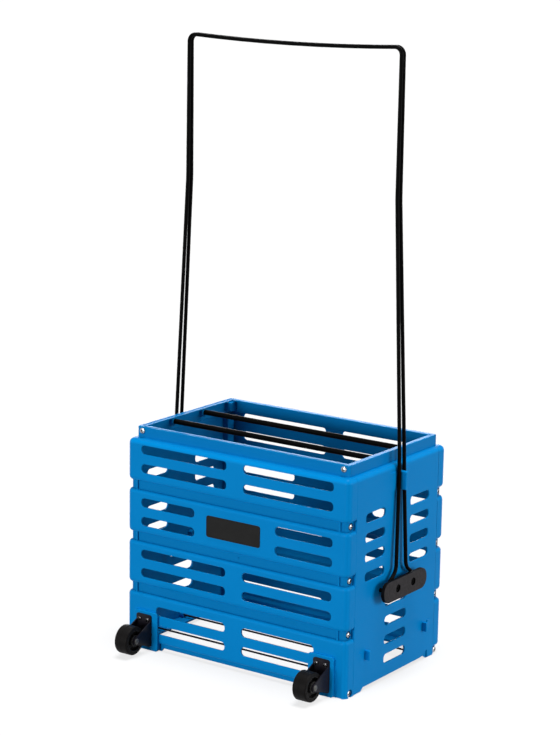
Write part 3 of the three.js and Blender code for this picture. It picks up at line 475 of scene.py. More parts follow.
plate_face_depth = -14.1
# Painted shade: the blue goes darker in the grooves, the skirt and the rim, and on every face inside the
# basket.
painted_shade_by_depth("blue_moulding", 1.0, 3.5, 0.84, 0.8)
# Painted shade: the zinc of the corner screws goes darker deep in their pockets.
painted_shade_by_depth("sunk_zinc", 2.5, 6.0, 0.45)
# The plates keep their paler colour only on their outer face. Their sides are darkened almost to black, and
# so are their pits, where this is painted shade.
painted_shade_by_depth("charcoal_plate", plate_face_depth, plate_face_depth + 0.1, 0.02)

# %% Give every solid its finish
finish_of_slot = {
    "blue_plastic": "blue_moulding",
    "black_wire": "coated_wire",
    "black_plastic": "charcoal_plate",
    "black_steel": "black_paint",
    "tyre_rubber": "wheel_rubber",
    "hub_plastic": "core_plastic",
    "plated_steel": "zinc_plate",
}
for row in frame["record"]["subparts"]:
    clothe(frame["nodes"][row["node"]], finish_of_slot[row["material_slot"]])
print("slots with a finish:", len(finish_of_slot))

# %% [markdown]
# What repeats is made with Geometry Nodes. Every tree here starts with an input of named sizes, and
# ends in real geometry that has a material. A tree is run on a piece as a modifier, once for each
# set of sizes, and the result is kept as a plain mesh.

# %% Helpers for node trees
def new_tree(name, **inputs):
    """Starts a tree. Gives the tree, its named sizes, and a function that adds a geometry node to it."""
    tree = bpy.data.node_groups.new(name, "GeometryNodeTree")
    for label, kind in {"Geometry": "Geometry", **inputs, "Material": "Material"}.items():
        tree.interface.new_socket(label.replace("_", " "), in_out="INPUT", socket_type="NodeSocket" + kind)
    tree.interface.new_socket("Geometry", in_out="OUTPUT", socket_type="NodeSocketGeometry")

    def add(kind, sources=None, **settings):
        return add_node(tree, "GeometryNode" + kind, sources, **settings)

    return tree, add_node(tree, "NodeGroupInput"), add


def end_tree(tree, size, result):
    real = add_node(tree, "GeometryNodeRealizeInstances", {"Geometry": result})
    clad = add_node(tree, "GeometryNodeSetMaterial", {"Geometry": real[0], "Material": size["Material"]})
    add_node(tree, "NodeGroupOutput", {"Geometry": clad[0]})
    print(tree.name, "has", len(tree.nodes), "nodes")


def run_tree(piece, tree, look, **values):
    values["Material"] = finishes[look]
    step = piece.modifiers.new(tree.name, "NODES")
    step.node_group = tree
    for socket in tree.interface.items_tree:
        label = socket.name.replace(" ", "_")
        if socket.in_out == "INPUT" and label in values:
            step[socket.identifier] = values[label]


# %% [markdown]
# The slots are what makes the basket light. On the real one a row of rounded bars in the mould
# leaves them. In the tree, one slot's outline is filled and pushed through the wall to make a bar,
# the bar is set on every point of a small grid, and all the bars are cut out at once.

# %% The tree that cuts rows of slots
slot_tree, size, add = new_tree(
    "slot_rows", Columns="Int", Rows="Int", First_Slot="Vector", Column_Step="Vector", Row_Step="Vector",
    Slot_Length="Float", Slot_Height="Float", Corner_Radius="Float", Bar_Depth="Float", Turn="Vector",
)
outline = add("CurvePrimitiveQuadrilateral", {"Width": size["Slot Length"], "Height": size["Slot Height"]})
corners = {"Curve": outline[0], "Count": round_steps, "Radius": size["Corner Radius"]}
rounded = add("FilletCurve", corners, mode="POLY")
near_end = add("FillCurve", {"Curve": rounded[0]}, mode="NGONS")
pushed = add("ExtrudeMesh", {"Mesh": near_end[0], "Offset Scale": size["Bar Depth"], "Individual": False})
flipped = add("FlipFaces", {"Mesh": near_end[0]})
closed = add("JoinGeometry", {"Geometry": [pushed["Mesh"], flipped[0]]})
bar = add("MergeByDistance", {"Geometry": closed[0], "Distance": 0.001})
along = {"Count": size["Columns"], "Start Location": size["First Slot"], "Offset": size["Column Step"]}
columns = add("MeshLine", along)
rows = add("MeshLine", {"Count": size["Rows"], "Offset": size["Row Step"]})
grid = add("InstanceOnPoints", {"Points": columns[0], "Instance": rows[0]})
places = add("RealizeInstances", {"Geometry": grid[0]})
bars = add("InstanceOnPoints", {"Points": places[0], "Instance": bar[0], "Rotation": size["Turn"]})
real_bars = add("RealizeInstances", {"Geometry": bars[0]})
meshes = {"Mesh 1": size["Geometry"], "Mesh 2": real_bars[0]}
slotted = add("MeshBoolean", meshes, operation="DIFFERENCE", solver="EXACT")
end_tree(slot_tree, size, slotted["Mesh"])

# %% [markdown]
# A wire or a rod is a round section that follows a path. The path is given as a chain of points, and
# the tree sweeps a circle along it and closes the ends.

# %% The tree that draws wire along a path
wire_tree, size, add = new_tree("wire_along_path", Radius="Float", Sides="Int")
path = add("MeshToCurve", {"Mesh": size["Geometry"]})
section = add("CurvePrimitiveCircle", {"Resolution": size["Sides"], "Radius": size["Radius"]})
swept = add("CurveToMesh", {"Curve": path[0], "Profile Curve": section[0], "Fill Caps": True})
end_tree(wire_tree, size, swept[0])


def wire(points, radius, look, sides=24):
    mesh = bpy.data.meshes.new("path")
    mesh.from_pydata(points, [(k, k + 1) for k in range(len(points) - 1)], [])
    piece = linked("path", mesh)
    run_tree(piece, wire_tree, look, Radius=radius, Sides=sides)
    return shaded(plain(piece))


# %% [markdown]
# Thirty-two screws hold the basket together, in three sizes. One screw of each size is modelled, and
# a tree sets it on every seat. A seat is a point that knows which way its screw faces and how far
# the driver left the cross turned, so no two look stamped.

# %% The tree that sets a screw on every seat
seat_tree, size, add = new_tree("screw_on_seats", Pattern="Object")
pattern = add("ObjectInfo", {"Object": size["Pattern"]})
facing = add("InputNamedAttribute", {"Name": "facing"}, data_type="FLOAT_VECTOR")
turn = add("InputNamedAttribute", {"Name": "turn"}, data_type="FLOAT")
aligned = add_node(seat_tree, "FunctionNodeAlignRotationToVector", {"Vector": facing[0]}, axis="X")
spin = add_node(seat_tree, "FunctionNodeAxisAngleToRotation", {"Axis": (1, 0, 0), "Angle": turn[0]})
turns = {"Rotation": aligned[0], "Rotate By": spin[0]}
rotated = add_node(seat_tree, "FunctionNodeRotateRotation", turns, rotation_space="LOCAL")
placing = {"Points": size["Geometry"], "Instance": pattern["Geometry"], "Rotation": rotated[0]}
seated = add("InstanceOnPoints", placing)
end_tree(seat_tree, size, seated[0])
turn_step = 37


def on_seats(pattern_piece, seats, look):
    """Seats are (place, facing) pairs."""
    mesh = bpy.data.meshes.new("seats")
    mesh.from_pydata([place for place, _ in seats], [], [])
    ways = mesh.attributes.new("facing", "FLOAT_VECTOR", "POINT")
    ways.data.foreach_set("vector", [number for _, way in seats for number in way])
    turns = mesh.attributes.new("turn", "FLOAT", "POINT")
    turns.data.foreach_set("value", [math.radians(turn_step * k % 90) for k in range(len(seats))])
    piece = linked("seats", mesh)
    run_tree(piece, seat_tree, look, Pattern=pattern_piece)
    return shaded(plain(piece))


# %% [markdown]
# The two long panels wrap round the corners of the basket. Their upright section runs up over the
# skirt, round four bands and the three grooves between them, and in over the ledge. A sweep along
# the wall would fold over itself at the ledge, which goes further in than the corner is round. So
# the panel is lofted instead: each point of the section becomes one level, seen from above, and
# each level goes along one return, round both corners and along the other return.

# %% The section of a long panel
corner_steps = 10
overlap = 0.5
overrun = 2.0


def rounded_step(face_edge, floor_edge, depth):
    rise = floor_edge - face_edge
    return [(face_edge + rise * math.sin(turn), depth * (1 - math.cos(turn))) for turn in quarter()]


def panel_section():
    half_mouth, half_floor = groove_mouth / 2, groove_floor / 2
    outside = [(0, skirt_inset), *reversed(rounded_step(lowest_edge, skirt_top, skirt_inset))]
    for centre in reversed(groove_centres):
        outside += rounded_step(centre - half_mouth, centre - half_floor, groove_depth)
        outside += reversed(rounded_step(centre + half_mouth, centre + half_floor, groove_depth))
    outside += rounded_step(ledge - ledge_radius, ledge, ledge_radius)
    inside = [(ledge - wall, ledge_radius), (ledge - ledge_radius, wall)]
    for centre in groove_centres:
        inside += [(centre + half_mouth + 1, wall), (centre + half_floor + wall / 2, groove_depth + wall)]
        inside += [(centre - half_floor - wall / 2, groove_depth + wall), (centre - half_mouth - 1, wall)]
    inside += [(lowest_edge + 1, wall), (skirt_top + wall / 2, skirt_inset + wall), (0, skirt_inset + wall)]
    under = rim_wall - overlap
    shelf = [(z, rim_inset_x + under, rim_inset_y + under) for z in (ledge, ledge - wall)]
    return [(z, inset, inset) for z, inset in outside] + shelf + [(z, inset, inset) for z, inset in inside]


# %% The levels of a long panel
def panel_level(z, inset_x, inset_y):
    radius = max(corner_radius - max(inset_x, inset_y), seam / 2)
    x, y = half_x - inset_x, half_y - inset_y
    left = arc(radius - x, radius - y, radius, 180, 270, corner_steps)
    right = arc(x - radius, radius - y, radius, 270, 360, corner_steps)
    return [(u, v, z) for u, v in [(-x, -return_end), *left, *right, (x, -return_end)]]


def lofted(levels):
    """Joins open rows of points into a closed tube and closes its two ends."""
    rows, columns = len(levels), len(levels[0])
    points = [point for level in levels for point in level]
    faces = [[row * columns + end for row in range(rows)] for end in (0, columns - 1)]
    for row in range(rows):
        here, after = row * columns, (row + 1) % rows * columns
        faces += [(here + k, after + k, after + k + 1, here + k + 1) for k in range(columns - 1)]
    return points, faces


print("levels:", len(panel_section()), "points in each:", len(panel_level(0, 0, 0)))

# %% [markdown]
# Above the ledge stands the rim, a thin collar with a flange turned in at its top. Its upper outer
# edge is rounded and shines as a bright line. The front panel also has flush feet and two pads
# that carry the wheels, and a shallow ramp beside each pad. Small ribs cross the grooves near the
# corners, and a small nub is left where the plastic ran in. The rear panel has a low ledge inside.

# %% The rim
def rim_collar():
    levels = []
    rounds = [(rim_round * (1 - math.sin(turn)), rim_round * (1 - math.cos(turn))) for turn in quarter()]
    for drop, shrink in [(height - ledge + wall, 0), *rounds]:
        radius, x, y = rim_corner - shrink, rim_x - shrink, rim_y - shrink
        left = arc(radius - x, radius - y, radius, 180, 270)
        right = arc(x - radius, radius - y, radius, 270, 360)
        ring = [(-x, rim_wall - rim_y), *left, *right, (x, rim_wall - rim_y)]
        levels.append(placed(ring, height - drop, "Z"))
    return stacked(levels)


def rim_flange():
    end = rim_x - flange_width - seam
    inner, root = flange_width - rim_y, rim_wall / 2 - rim_y
    outline = [(root, height), (root, flange_under)]
    outline += arc(inner - rim_edge, flange_under + rim_edge, rim_edge, -90, 0)
    outline += arc(inner - rim_edge, height - rim_edge, rim_edge, 0, 90)
    return prism(outline, -end, end, "X")


print("the rim's collar has", len(rim_collar()[0]), "points")

# %% Sizes of the feet, the pads and the screws
screw_y = half_y - 11.6
foot_screw_height = 5.2
corner_screw_heights = [*groove_centres, foot_screw_height]
screw_sink = 1.8
shank_hole = 1.8
rim_screw_x, rim_screw_z = half_x - 16.6, height - 5.8
lap_face = half_x - groove_depth - wall - seam
pad_face = half_y + 4
wheel_x = half_x - 33
pad_x = wheel_x - 2
pad_width = 39
pad_top = 53.5
fork_seats = [(x, z) for x in (-6.5, 6.5) for z in (42.8, 10.6)]
fork_hole = 1.6
rail_levels = (ground_gap, ground_gap + 2.6)
print("screws at each corner:", len(corner_screw_heights), "and in each fork:", len(fork_seats))


# %% The feet, the ribs and the pads
def front_foot(side):
    """Fills the inset of the skirt from the wheel pad round to the corner."""
    levels = [panel_level(0, inset, inset) for inset in (0, skirt_inset + wall / 2)]
    outer, inner = [[point[:2] for point in level if side * point[0] > 0][::side] for level in levels]
    ring = [(side * pad_x, -half_y), *outer, *reversed(inner), (side * pad_x, inner[0][1])]
    return prism(ring, 0, lowest_edge, "Z")


def corner_ramp(side):
    outside, sunk = -half_y - overrun, 1.7 - half_y
    slope = [(outside, 60), (-half_y, 60), (sunk, 0), (sunk, -overrun), (outside, -overrun)]
    return prism(slope, side * (half_x - 5.5), side * (half_x - 14), "X")


def groove_rib(side, z):
    x, floor = side * (half_x - 15), half_y - groove_depth
    return cushioned(x, z, 2.6, groove_floor + 2, 0.4, 1 - floor, -floor - 2.4, 0.9, "Y")


def wheel_pad(side):
    return cushioned(side * pad_x, pad_top / 2, pad_width, pad_top, 4, 6 - pad_face, -pad_face, 1, "Y")


# %% Cuts for feet and screws
def arch(foot_edge, ramp, start, stop, axis):
    """Lifts the underside between two feet."""
    outline = [(-foot_edge, -overrun), (foot_edge, -overrun)]
    outline += [(foot_edge - ramp, ground_gap), (ramp - foot_edge, ground_gap)]
    return prism(outline, start, stop, axis)


def screw_holes(side):
    seat, outside = side * (half_x - groove_depth - screw_sink), side * (half_x + overrun)
    return [
        rods(5.0, seat, outside, [(-screw_y, z) for z in groove_centres]),
        rods(shank_hole, side * 165, outside, [(-screw_y, z) for z in corner_screw_heights]),
        rod(shank_hole, -rim_y - overrun, rim_wall + overrun - rim_y, side * rim_screw_x, rim_screw_z, "Y"),
    ]


# %% Slots in the bands
slot_pitch = 25.6
slot_round = 1.1
bar_depth = wall + 2 * overrun


def cut_slots(piece, columns, rows, first, step, long, tall, corner, turn=0.0):
    run_tree(
        piece, slot_tree, "blue_moulding", Columns=columns, Rows=rows, First_Slot=first, Column_Step=step,
        Row_Step=(0.0, 0.0, slot_pitch), Slot_Length=float(long), Slot_Height=tall, Corner_Radius=corner,
        Bar_Depth=bar_depth, Turn=(math.pi / 2, 0.0, turn),
    )


def with_soft_slots(piece, *planes):
    chosen = softened(plain(piece), slot_round, planes)
    print("slots are cut, and", chosen, "edges softened")
    return shaded(piece)


def cut_band_slots(piece, is_front):
    """Each band has two rows of slots on each side of the middle."""
    edges = [ledge, *groove_centres]
    for band, upper in enumerate(edges):
        top = upper if band == 0 else upper - groove_mouth / 2
        last = band == len(groove_centres)
        bottom = lowest_edge if last else groove_centres[band] + groove_mouth / 2
        inner = 64 if band == 1 else 13.5
        reach = 125.7 if last and is_front else half_x - 23.9
        first = (-(inner + reach) / 2, overrun + wall - half_y, (top + bottom - slot_pitch) / 2)
        cut_slots(piece, 2, 2, first, (inner + reach, 0.0, 0.0), reach - inner, 12.2, 5.4)
    return with_soft_slots(piece, (1, -half_y), (1, wall - half_y))


# %% Make both long panels
def front_details():
    seat, outside = half_x - skirt_inset, half_x + overrun
    pockets = [rod(5.4, side * seat, side * outside, -screw_y, foot_screw_height) for side in SIDES]
    seats = [(side * wheel_x + x, z) for side in SIDES for x, z in fork_seats]
    holes = rods(fork_hole, -pad_face - overrun, 7 - pad_face, seats, "Y")
    low_arch = arch(pad_x - pad_width / 2, ground_gap, -pad_face - overrun, -return_end, "Y")
    return joins(together(*map(wheel_pad, SIDES))) + cuts(low_arch, together(*pockets), holes)


def rear_details():
    inner = half_y - wall
    low_arch = arch(half_x - 25, ground_gap, -half_y - overrun, -return_end, "Y")
    return cuts(low_arch) + joins(block((-150, 150), (-inner - overlap, 19 - inner), rail_levels))


def long_panel(is_front):
    piece = shaped(lofted([panel_level(*level) for level in panel_section()]))
    floor = half_y - groove_depth
    nub = rod(1.5, -floor - 0.8, 1 - floor, 4, groove_centres[1], "Y")
    ribs = together(*[groove_rib(side, z) for side in SIDES for z in groove_centres])
    steps = joins(*map(front_foot, SIDES)) + cuts(*map(corner_ramp, SIDES)) if is_front else []
    steps += joins(rim_collar(), rim_flange(), ribs, nub)
    steps += front_details() if is_front else rear_details()
    steps += cuts(*screw_holes(-1), *screw_holes(1))
    return cut_band_slots(worked(piece, steps), is_front)


for side, name in FRONT_REAR:
    piece = turned_for(side, long_panel(side > 0))
    settle(piece, f"{name}_panel_moulding", "basket", "blue_plastic", f"{name}_panel")

# %% [markdown]
# The two end panels are alike. Each is a plate with the same ledge and rim, pushed along its whole
# width as one outline. Behind its edges lie flanges with bosses, which the corner screws bite. Its
# outside carries the posts for the pivot bracket, the guide that parts the two wires under the rim,
# and the posts and ramps that hold a leg once it is swung down.

# %% The plate of an end panel
inner_face = half_x - wall
bracket_back = half_x + 9.2
pivot_y = end_half - 58.5
pivot_z = height - 175.2
bracket_screw_y = pivot_y * 0.475
guide_centre = height - 37.4
foot_round = 1.5


def end_plate():
    inner = rim_x - flange_width
    points = [(inner_face, 0), *arc(half_x - foot_round, foot_round, foot_round, -90, 0)]
    bend = rounded_step(ledge - ledge_radius, ledge, ledge_radius)
    points += [(half_x - inset, z) for z, inset in bend]
    points += [(rim_x, ledge), *arc(rim_x - rim_round, height - rim_round, rim_round, 0, 90)]
    points += arc(inner + rim_edge, height - rim_edge, rim_edge, 90, 180)
    points += arc(inner + rim_edge, flange_under + rim_edge, rim_edge, 180, 270)
    points += [(rim_x - rim_wall, flange_under), (rim_x - rim_wall, ledge - wall)]
    points += [(half_x - ledge_radius, ledge - wall), (inner_face, ledge - ledge_radius)]
    return prism(points, -end_half, end_half, "Y")


print("the end plate's outline has", len(end_plate()[0]) // 2, "points")


# %% What the plate carries
def lap_flanges(side):
    lap_end = half_y - groove_depth - wall - seam
    top = ledge - ledge_radius - wall
    back, web = lap_face - wall, side * (end_half - wall)
    seats = [(side * screw_y, z) for z in corner_screw_heights]
    return [
        block((back, half_x - overlap), (web, side * end_half), (0, top)),
        block((back, lap_face), (web, side * lap_end), (0, top)),
        rods(4, lap_face - 11.3, lap_face - overlap, seats),
    ]


def rim_blocks(side):
    """Closes the rim towards its corner, with a thicker part for the rim screw."""
    back, low = rim_x - flange_width, ledge + seam
    inner, end = side * (end_half - 8 - wall), side * (rim_y - rim_wall - seam)
    tip = (side * (end_half - overlap), end)
    return [
        block((rim_screw_x - 4, rim_x - overlap), (inner, end), (low, flange_under - seam)),
        block((back, rim_x - overlap), (inner, side * end_half), (low, height - overlap)),
        block((back, rim_x - rim_round), tip, (low, height)),
        block((rim_x - wall, rim_x), tip, (low, height - rim_round)),
    ]


# %% The guides and the ramps
def ramp(side, inset, length, reach, centre, tall):
    """A low pad, flat at first, which slopes down to the plate on its far side."""
    face, back = half_x, half_x - overlap
    near, middle, far = [side * (inset + length * share) for share in (0, 0.5, 1)]
    outline = [(back, near), (face + reach, near), (face + reach, middle), (face, far), (back, far)]
    return prism(outline, centre - tall / 2, centre + tall / 2, "Z")


def wire_guides():
    face, rest_centre = half_x, pivot_z - 77.5
    guides = [cushioned(0, guide_centre, 6, 24, 1.2, face - overlap, face + 12, 1.2, "X")]
    for side in SIDES:
        post_y = side * (pivot_y + 30.9)
        guides.append(ramp(side, 9.2, 16, 0.9, guide_centre, 24))
        guides.append(ramp(side, pivot_y + 40.7, 9, 0.7, rest_centre, 12.4))
        guides.append(cushioned(post_y, rest_centre, 4, 12.4, 0.8, face - overlap, face + 7, 0.9, "X"))
    return guides


print("guides, posts and ramps on an end:", len(wire_guides()))

# %% Sockets, posts and holes
top_rod_radius = 3.6
low_rod_radius = 1.3
top_rod_seats = [(y, height - 6.4) for y in (-33.4, 33.4)]
low_rod_seats = [(y, 10.7) for y in (-64.4, 0, 64.4)]
pivot_seats, bracket_seats = [[(side * y, pivot_z) for side in SIDES] for y in (pivot_y, bracket_screw_y)]


def sockets():
    high = rods(6.2, rim_x - flange_width, rim_x - overlap, top_rod_seats)
    above = block((0, rim_x - rim_wall), (-end_half, end_half), (height - overlap, height + 20))
    low = rods(4.1, inner_face - 6, inner_face + overlap, low_rod_seats)
    bores = together(rods(3.8, 0, rim_x - 2, top_rod_seats), rods(1.5, 0, inner_face + 1, low_rod_seats))
    return high, above, low, bores


def low_rail():
    """A ledge inside, just under the thin rods. It shows through the lowest slots."""
    reach = end_half - wall + overlap
    return block((inner_face - 18, inner_face + overlap), (-reach, reach), rail_levels)


def pivot_posts():
    posts = []
    for pivot, screw_seat in zip(pivot_seats, bracket_seats):
        posts.append(rod(6.5, inner_face - 2.2, inner_face + overlap, *pivot, sides=32))
        posts.append(rod(5.5, inner_face + 1, bracket_back - seam, *screw_seat, sides=32))
        posts.append(rod(3.5, inner_face - 6, inner_face + 2, *screw_seat))
    holes = rods(2.8, 0, half_x + overrun, pivot_seats)
    return posts, together(holes, rods(shank_hole, inner_face - 4.5, bracket_back + overrun, bracket_seats))


print("rods:", len(top_rod_seats), "thick and", len(low_rod_seats), "thin")


# %% Make both end panels
def cut_end_slots(piece):
    back = inner_face - overrun
    cut_slots(piece, 2, 4, (back, -52.8, height - 150.0), (0.0, 105.6, 0.0), 45, 12.0, 5.2, math.pi / 2)
    cut_slots(piece, 1, 4, (back, 0.0, 28.3), (0.0, 1.0, 0.0), 50.8, 12.0, 5.2, math.pi / 2)
    return with_soft_slots(piece, (0, half_x), (0, inner_face))


def end_panel():
    high, above, low, bores = sockets()
    posts, holes = pivot_posts()
    notch_out = end_half - 14.8
    notch = [(notch_out - 17, -overrun), (notch_out, -overrun), (notch_out, 11), (notch_out - 17, ground_gap)]
    seats = [(side * screw_y, z) for side in SIDES for z in corner_screw_heights]
    pilots = [rods(shank_hole, lap_face - 9.8, half_x, seats)]
    pilots += [
        rod(shank_hole, side * (rim_y - 8.3), side * half_y, rim_screw_x, rim_screw_z, "Y")
        for side in SIDES
    ]
    steps = joins(*lap_flanges(-1), *lap_flanges(1), *rim_blocks(-1), *rim_blocks(1), low_rail(), high)
    steps += cuts(above) + joins(low, *posts, *wire_guides())
    steps += cuts(
        arch(end_half - 13.2, 10, 0, half_x + overrun, "X"),
        prism(notch, half_x - 1.6, half_x + overrun, "X"), together(*pilots), bores, holes,
    )
    return cut_end_slots(worked(shaped(end_plate()), steps))


right_end = end_panel()
left_end = turned_for(-1, linked("left_end", right_end.data.copy()))
settle(right_end, "right_end_moulding", "basket", "blue_plastic", "right_end_panel")
settle(left_end, "left_end_moulding", "basket", "blue_plastic", "left_end_panel")

# %% [markdown]
# Two thick rods cross the top and three thin ones cross the bottom. A ball squeezes up between the
# thin rods, which spring apart and close under it. They are straight wires, so the wire tree draws
# them.

# %% The rods
top_rod_ends = [side * (rim_x - 2 - seam) for side in SIDES]
low_rod_ends = [side * (inner_face + 1 - seam) for side in SIDES]
for name, (y, z) in zip(("front", "rear"), top_rod_seats):
    piece = wire([(x, y, z) for x in top_rod_ends], top_rod_radius, "coated_wire", 32)
    settle(piece, f"{name}_top_bar", "basket", "black_steel", f"{name}_top_rod", look="coated_wire")
for k, (y, z) in enumerate(low_rod_seats, 1):
    piece = wire([(x, y, z) for x in low_rod_ends], low_rod_radius, "black_paint", 16)
    settle(piece, f"bottom_bar_{k}", "basket", "black_steel", f"bottom_rod_{k}")

# %% [markdown]
# Each handle is one wire, bent in a jig. It starts in its hole in the end panel, turns up, passes
# the guide, leans in over the rim to an elbow, rises to the grip and comes down the other side. The
# path is a short list of corners. Each corner is then replaced by a round bend.

# %% Bends
def bent(corners, steps=12):
    """Corners are (point, bend radius) pairs."""
    path = []
    for k, (point, radius) in enumerate(corners):
        point = Vector(point)
        if not radius:
            path.append(point)
            continue
        back_way = (Vector(corners[k - 1][0]) - point).normalized()
        on_way = (Vector(corners[k + 1][0]) - point).normalized()
        half = back_way.angle(on_way) / 2
        centre = point + (back_way + on_way).normalized() * radius / math.sin(half)
        spoke = point + back_way * radius / math.tan(half) - centre
        axis = on_way.cross(back_way).normalized()
        for step in range(steps + 1):
            path.append(centre + Matrix.Rotation(step / steps * (math.pi - 2 * half), 3, axis) @ spoke)
    return path


print("a bend has", len(bent([((0, 0, 0), 0), ((9, 0, 0), 2), ((9, 9, 0), 0)])) - 2, "points")

# %% The handles
wire_radius = 2.5
elbow_low, elbow_high = 296, 620
grip_height = 807
grip_sag = 4.4
hand_gap = 2.75


def handle_path():
    low, high, top = half_x + 6.3, half_x + 2.8, 162.8
    waist = pivot_z + 20.7
    guide_share = (guide_centre - waist) / (elbow_low - waist)
    elbow_gap = 11.3 + (5.5 - 11.3) * (elbow_high - elbow_low) / (grip_height - elbow_low)
    leg = [
        ((half_x - 9, -pivot_y, pivot_z), 0),
        ((low, -pivot_y, pivot_z), 4.4),
        ((low, -11.7, waist), 16),
        ((low + (high - low) * guide_share, -6.2, guide_centre), 150),
        ((high, -5.65, elbow_low), 150),
        ((top, -elbow_gap / 2, elbow_high), 260),
        ((top, -hand_gap, grip_height), 9.5),
    ]
    bow = [
        ((-share * top, -hand_gap, grip_height - grip_sag * (1 - share * share)), 0)
        for share in (-0.75, -0.5, -0.25, 0, 0.25, 0.5, 0.75)
    ]
    return bent([*leg, *bow, *[((-x, y, z), bend) for (x, y, z), bend in reversed(leg)]])


for side, name in FRONT_REAR:
    piece = turned_for(side, wire(handle_path(), wire_radius, "coated_wire"))
    handle = f"{name}_handle"
    settle(piece, f"{name}_carrying_wire", f"{handle}_body", "black_wire", handle)

# %% [markdown]
# A plate of charcoal plastic covers both pivots of an end and keeps the wires in. It is a flat
# stadium with soft edges and two deep round pits, and a screw lies at the bottom of each. Inside
# the basket a push-on cap keeps each wire's end in its hole.

# %% The pivot plates
bracket_front = bracket_back + 5.4
pit_floor = bracket_front - 3.2
plate_size = (2 * (pivot_y + 12.9), 27.4, 12.6)
for side, name in RIGHT_LEFT:
    piece = shaped(cushioned(0, pivot_z - 0.8, *plate_size, bracket_back, bracket_front, 0.8, "X"))
    pits = rods(5.2, pit_floor, bracket_front + 1, bracket_seats, sides=32)
    holes = rods(shank_hole, bracket_back - 1, bracket_front, bracket_seats)
    worked(piece, cuts(pits, holes))
    softened(piece, 0.5, [(0, bracket_front), (0, bracket_back)])
    turned_for(side, shaded(piece))
    settle(piece, f"{name}_pivot_plate", "basket", "black_plastic", f"{name}_pivot_bracket")

# %% The caps on the wires' ends
cap_x = inner_face - 2.2 - seam
cap_back = wall + 2.2 + seam - 9 - 1.5
cap_profile = [(0, cap_back), (4.2, cap_back), (4.6, cap_back + 0.4), (4.6, -2.1), (4.9, -1.8), (5.6, -1.8)]
cap_profile += [(6, -1.4), (6, -0.3), (5.7, 0), (2.8, 0), (2.8, cap_back + 1.2), (0, cap_back + 1.2)]
for side, side_name in RIGHT_LEFT:
    for end, end_name in ((-1, "front"), (1, "rear")):
        piece = shaded(shaped(turned(cap_profile, 36, (cap_x, side * end * pivot_y, pivot_z))))
        settle(
            turned_for(side, piece), f"{end_name}_{side_name}_end_cap", f"{end_name}_handle_body",
            "black_plastic", f"{end_name}_{side_name}_handle_cap",
        )

# %% [markdown]
# A pan head is a low dome over a short straight edge, with a cross driven into it. The cross is a
# plus sign that narrows as it goes down. One screw of each size lies along X with the underside of
# its head at the origin, and stays only as long as the tree needs it.

# %% One screw of each size
def plus_sign(reach, half):
    corner = [(reach, half), (half, half), (half, reach)]
    points = []
    for u, v in QUADRANTS:
        turned_corner = [(u * a, v * b) for a, b in corner]
        points += turned_corner[::u * v]
    return points


def screw(head_radius, head_height, shank_radius, shank_length):
    edge = head_height * 0.36
    profile = [(0, -shank_length), (shank_radius * 0.6, -shank_length), (shank_radius, 1 - shank_length)]
    profile += [(shank_radius, 0), (head_radius, 0), (head_radius, edge)]
    dome = head_height - edge
    profile += [(head_radius * math.cos(turn), edge + dome * math.sin(turn)) for turn in quarter(8)[1:-1]]
    profile.append((0, head_height))
    piece = shaped(turned(profile, 36), "screw_pattern")
    mouth = placed(plus_sign(head_radius * 0.7, head_radius * 0.2), head_height + 0.3, "X")
    bottom = placed(plus_sign(head_radius * 0.3, head_radius * 0.13), -head_height * 0.15, "X")
    return worked(piece, cuts(stacked([mouth, bottom])))


print("a driver's cross has", len(plus_sign(2, 1)), "corners")


# %% Set the screws on their seats
def set_screws(pattern, name, seats, slot, look, nodes):
    settle(on_seats(pattern, seats, look), name, "basket", slot, *nodes, look=look)


long_screw = screw(4, 3, 1.5, 11)
short_screw = screw(4, 2.2, 1.5, 8)
small_screw = screw(2.8, 1.8, 1.3, 7)
corners = [(face, side) for face in ("front", "rear") for side in ("right", "left")]
signs = {"front": -1, "rear": 1, "right": 1, "left": -1}
corner_seats, rim_seats, plate_seats = [], [], []
for face, side in corners:
    y_way, x_way = signs[face], signs[side]
    for z in corner_screw_heights:
        inset = skirt_inset if z == foot_screw_height else groove_depth + screw_sink
        corner_seats.append(((x_way * (half_x - inset + seam), y_way * screw_y, z), (x_way, 0, 0)))
    rim_seats.append(((x_way * rim_screw_x, y_way * (rim_y + seam), rim_screw_z), (0, y_way, 0)))
    plate_seats.append(((x_way * (pit_floor + seam), y_way * bracket_screw_y, pivot_z), (x_way, 0, 0)))
corner_nodes = [f"{face}_{side}_corner_screw_{k + 1}" for face, side in corners for k in range(4)]
# The corner screws take the zinc finish with painted shade in their pockets.
set_screws(long_screw, "corner_screws", corner_seats, "plated_steel", "sunk_zinc", corner_nodes)
rim_nodes = [f"{face}_{side}_rim_screw" for face, side in corners]
set_screws(short_screw, "rim_screws", rim_seats, "plated_steel", "zinc_plate", rim_nodes)
plate_nodes = [f"{side}_bracket_{face}_screw" for face, side in corners]
set_screws(short_screw, "pivot_plate_screws", plate_seats, "black_steel", "coated_wire", plate_nodes)

fork_sheet = 1.5
fork_back = -pad_face - seam
fork_screw_y = fork_back - fork_sheet - seam
small_seats = [((side * wheel_x + x, fork_screw_y, z), (0, -1, 0)) for side in (1, -1) for x, z in fork_seats]
small_nodes = [f"{side}_fork_screw_{k + 1}" for side in ("right", "left") for k in range(4)]
set_screws(small_screw, "fork_screws", small_seats, "black_steel", "dark_steel", small_nodes)
for pattern in (long_screw, short_screw, small_screw):
    bpy.data.objects.remove(pattern)

# %% [markdown]
# A fork is one pressed sheet: a plate against the pad and two legs that narrow down to the axle. An
# angle-limited bevel gives the whole sheet its sheared and bent edges, because nothing about it is
# too small for one.

# %% The forks
axle_y = half_y + 36.4
axle_height = 22.25
fork_width = 24.6
plate_bottom, plate_top, leg_top = 5.6, 49.6, 41.0


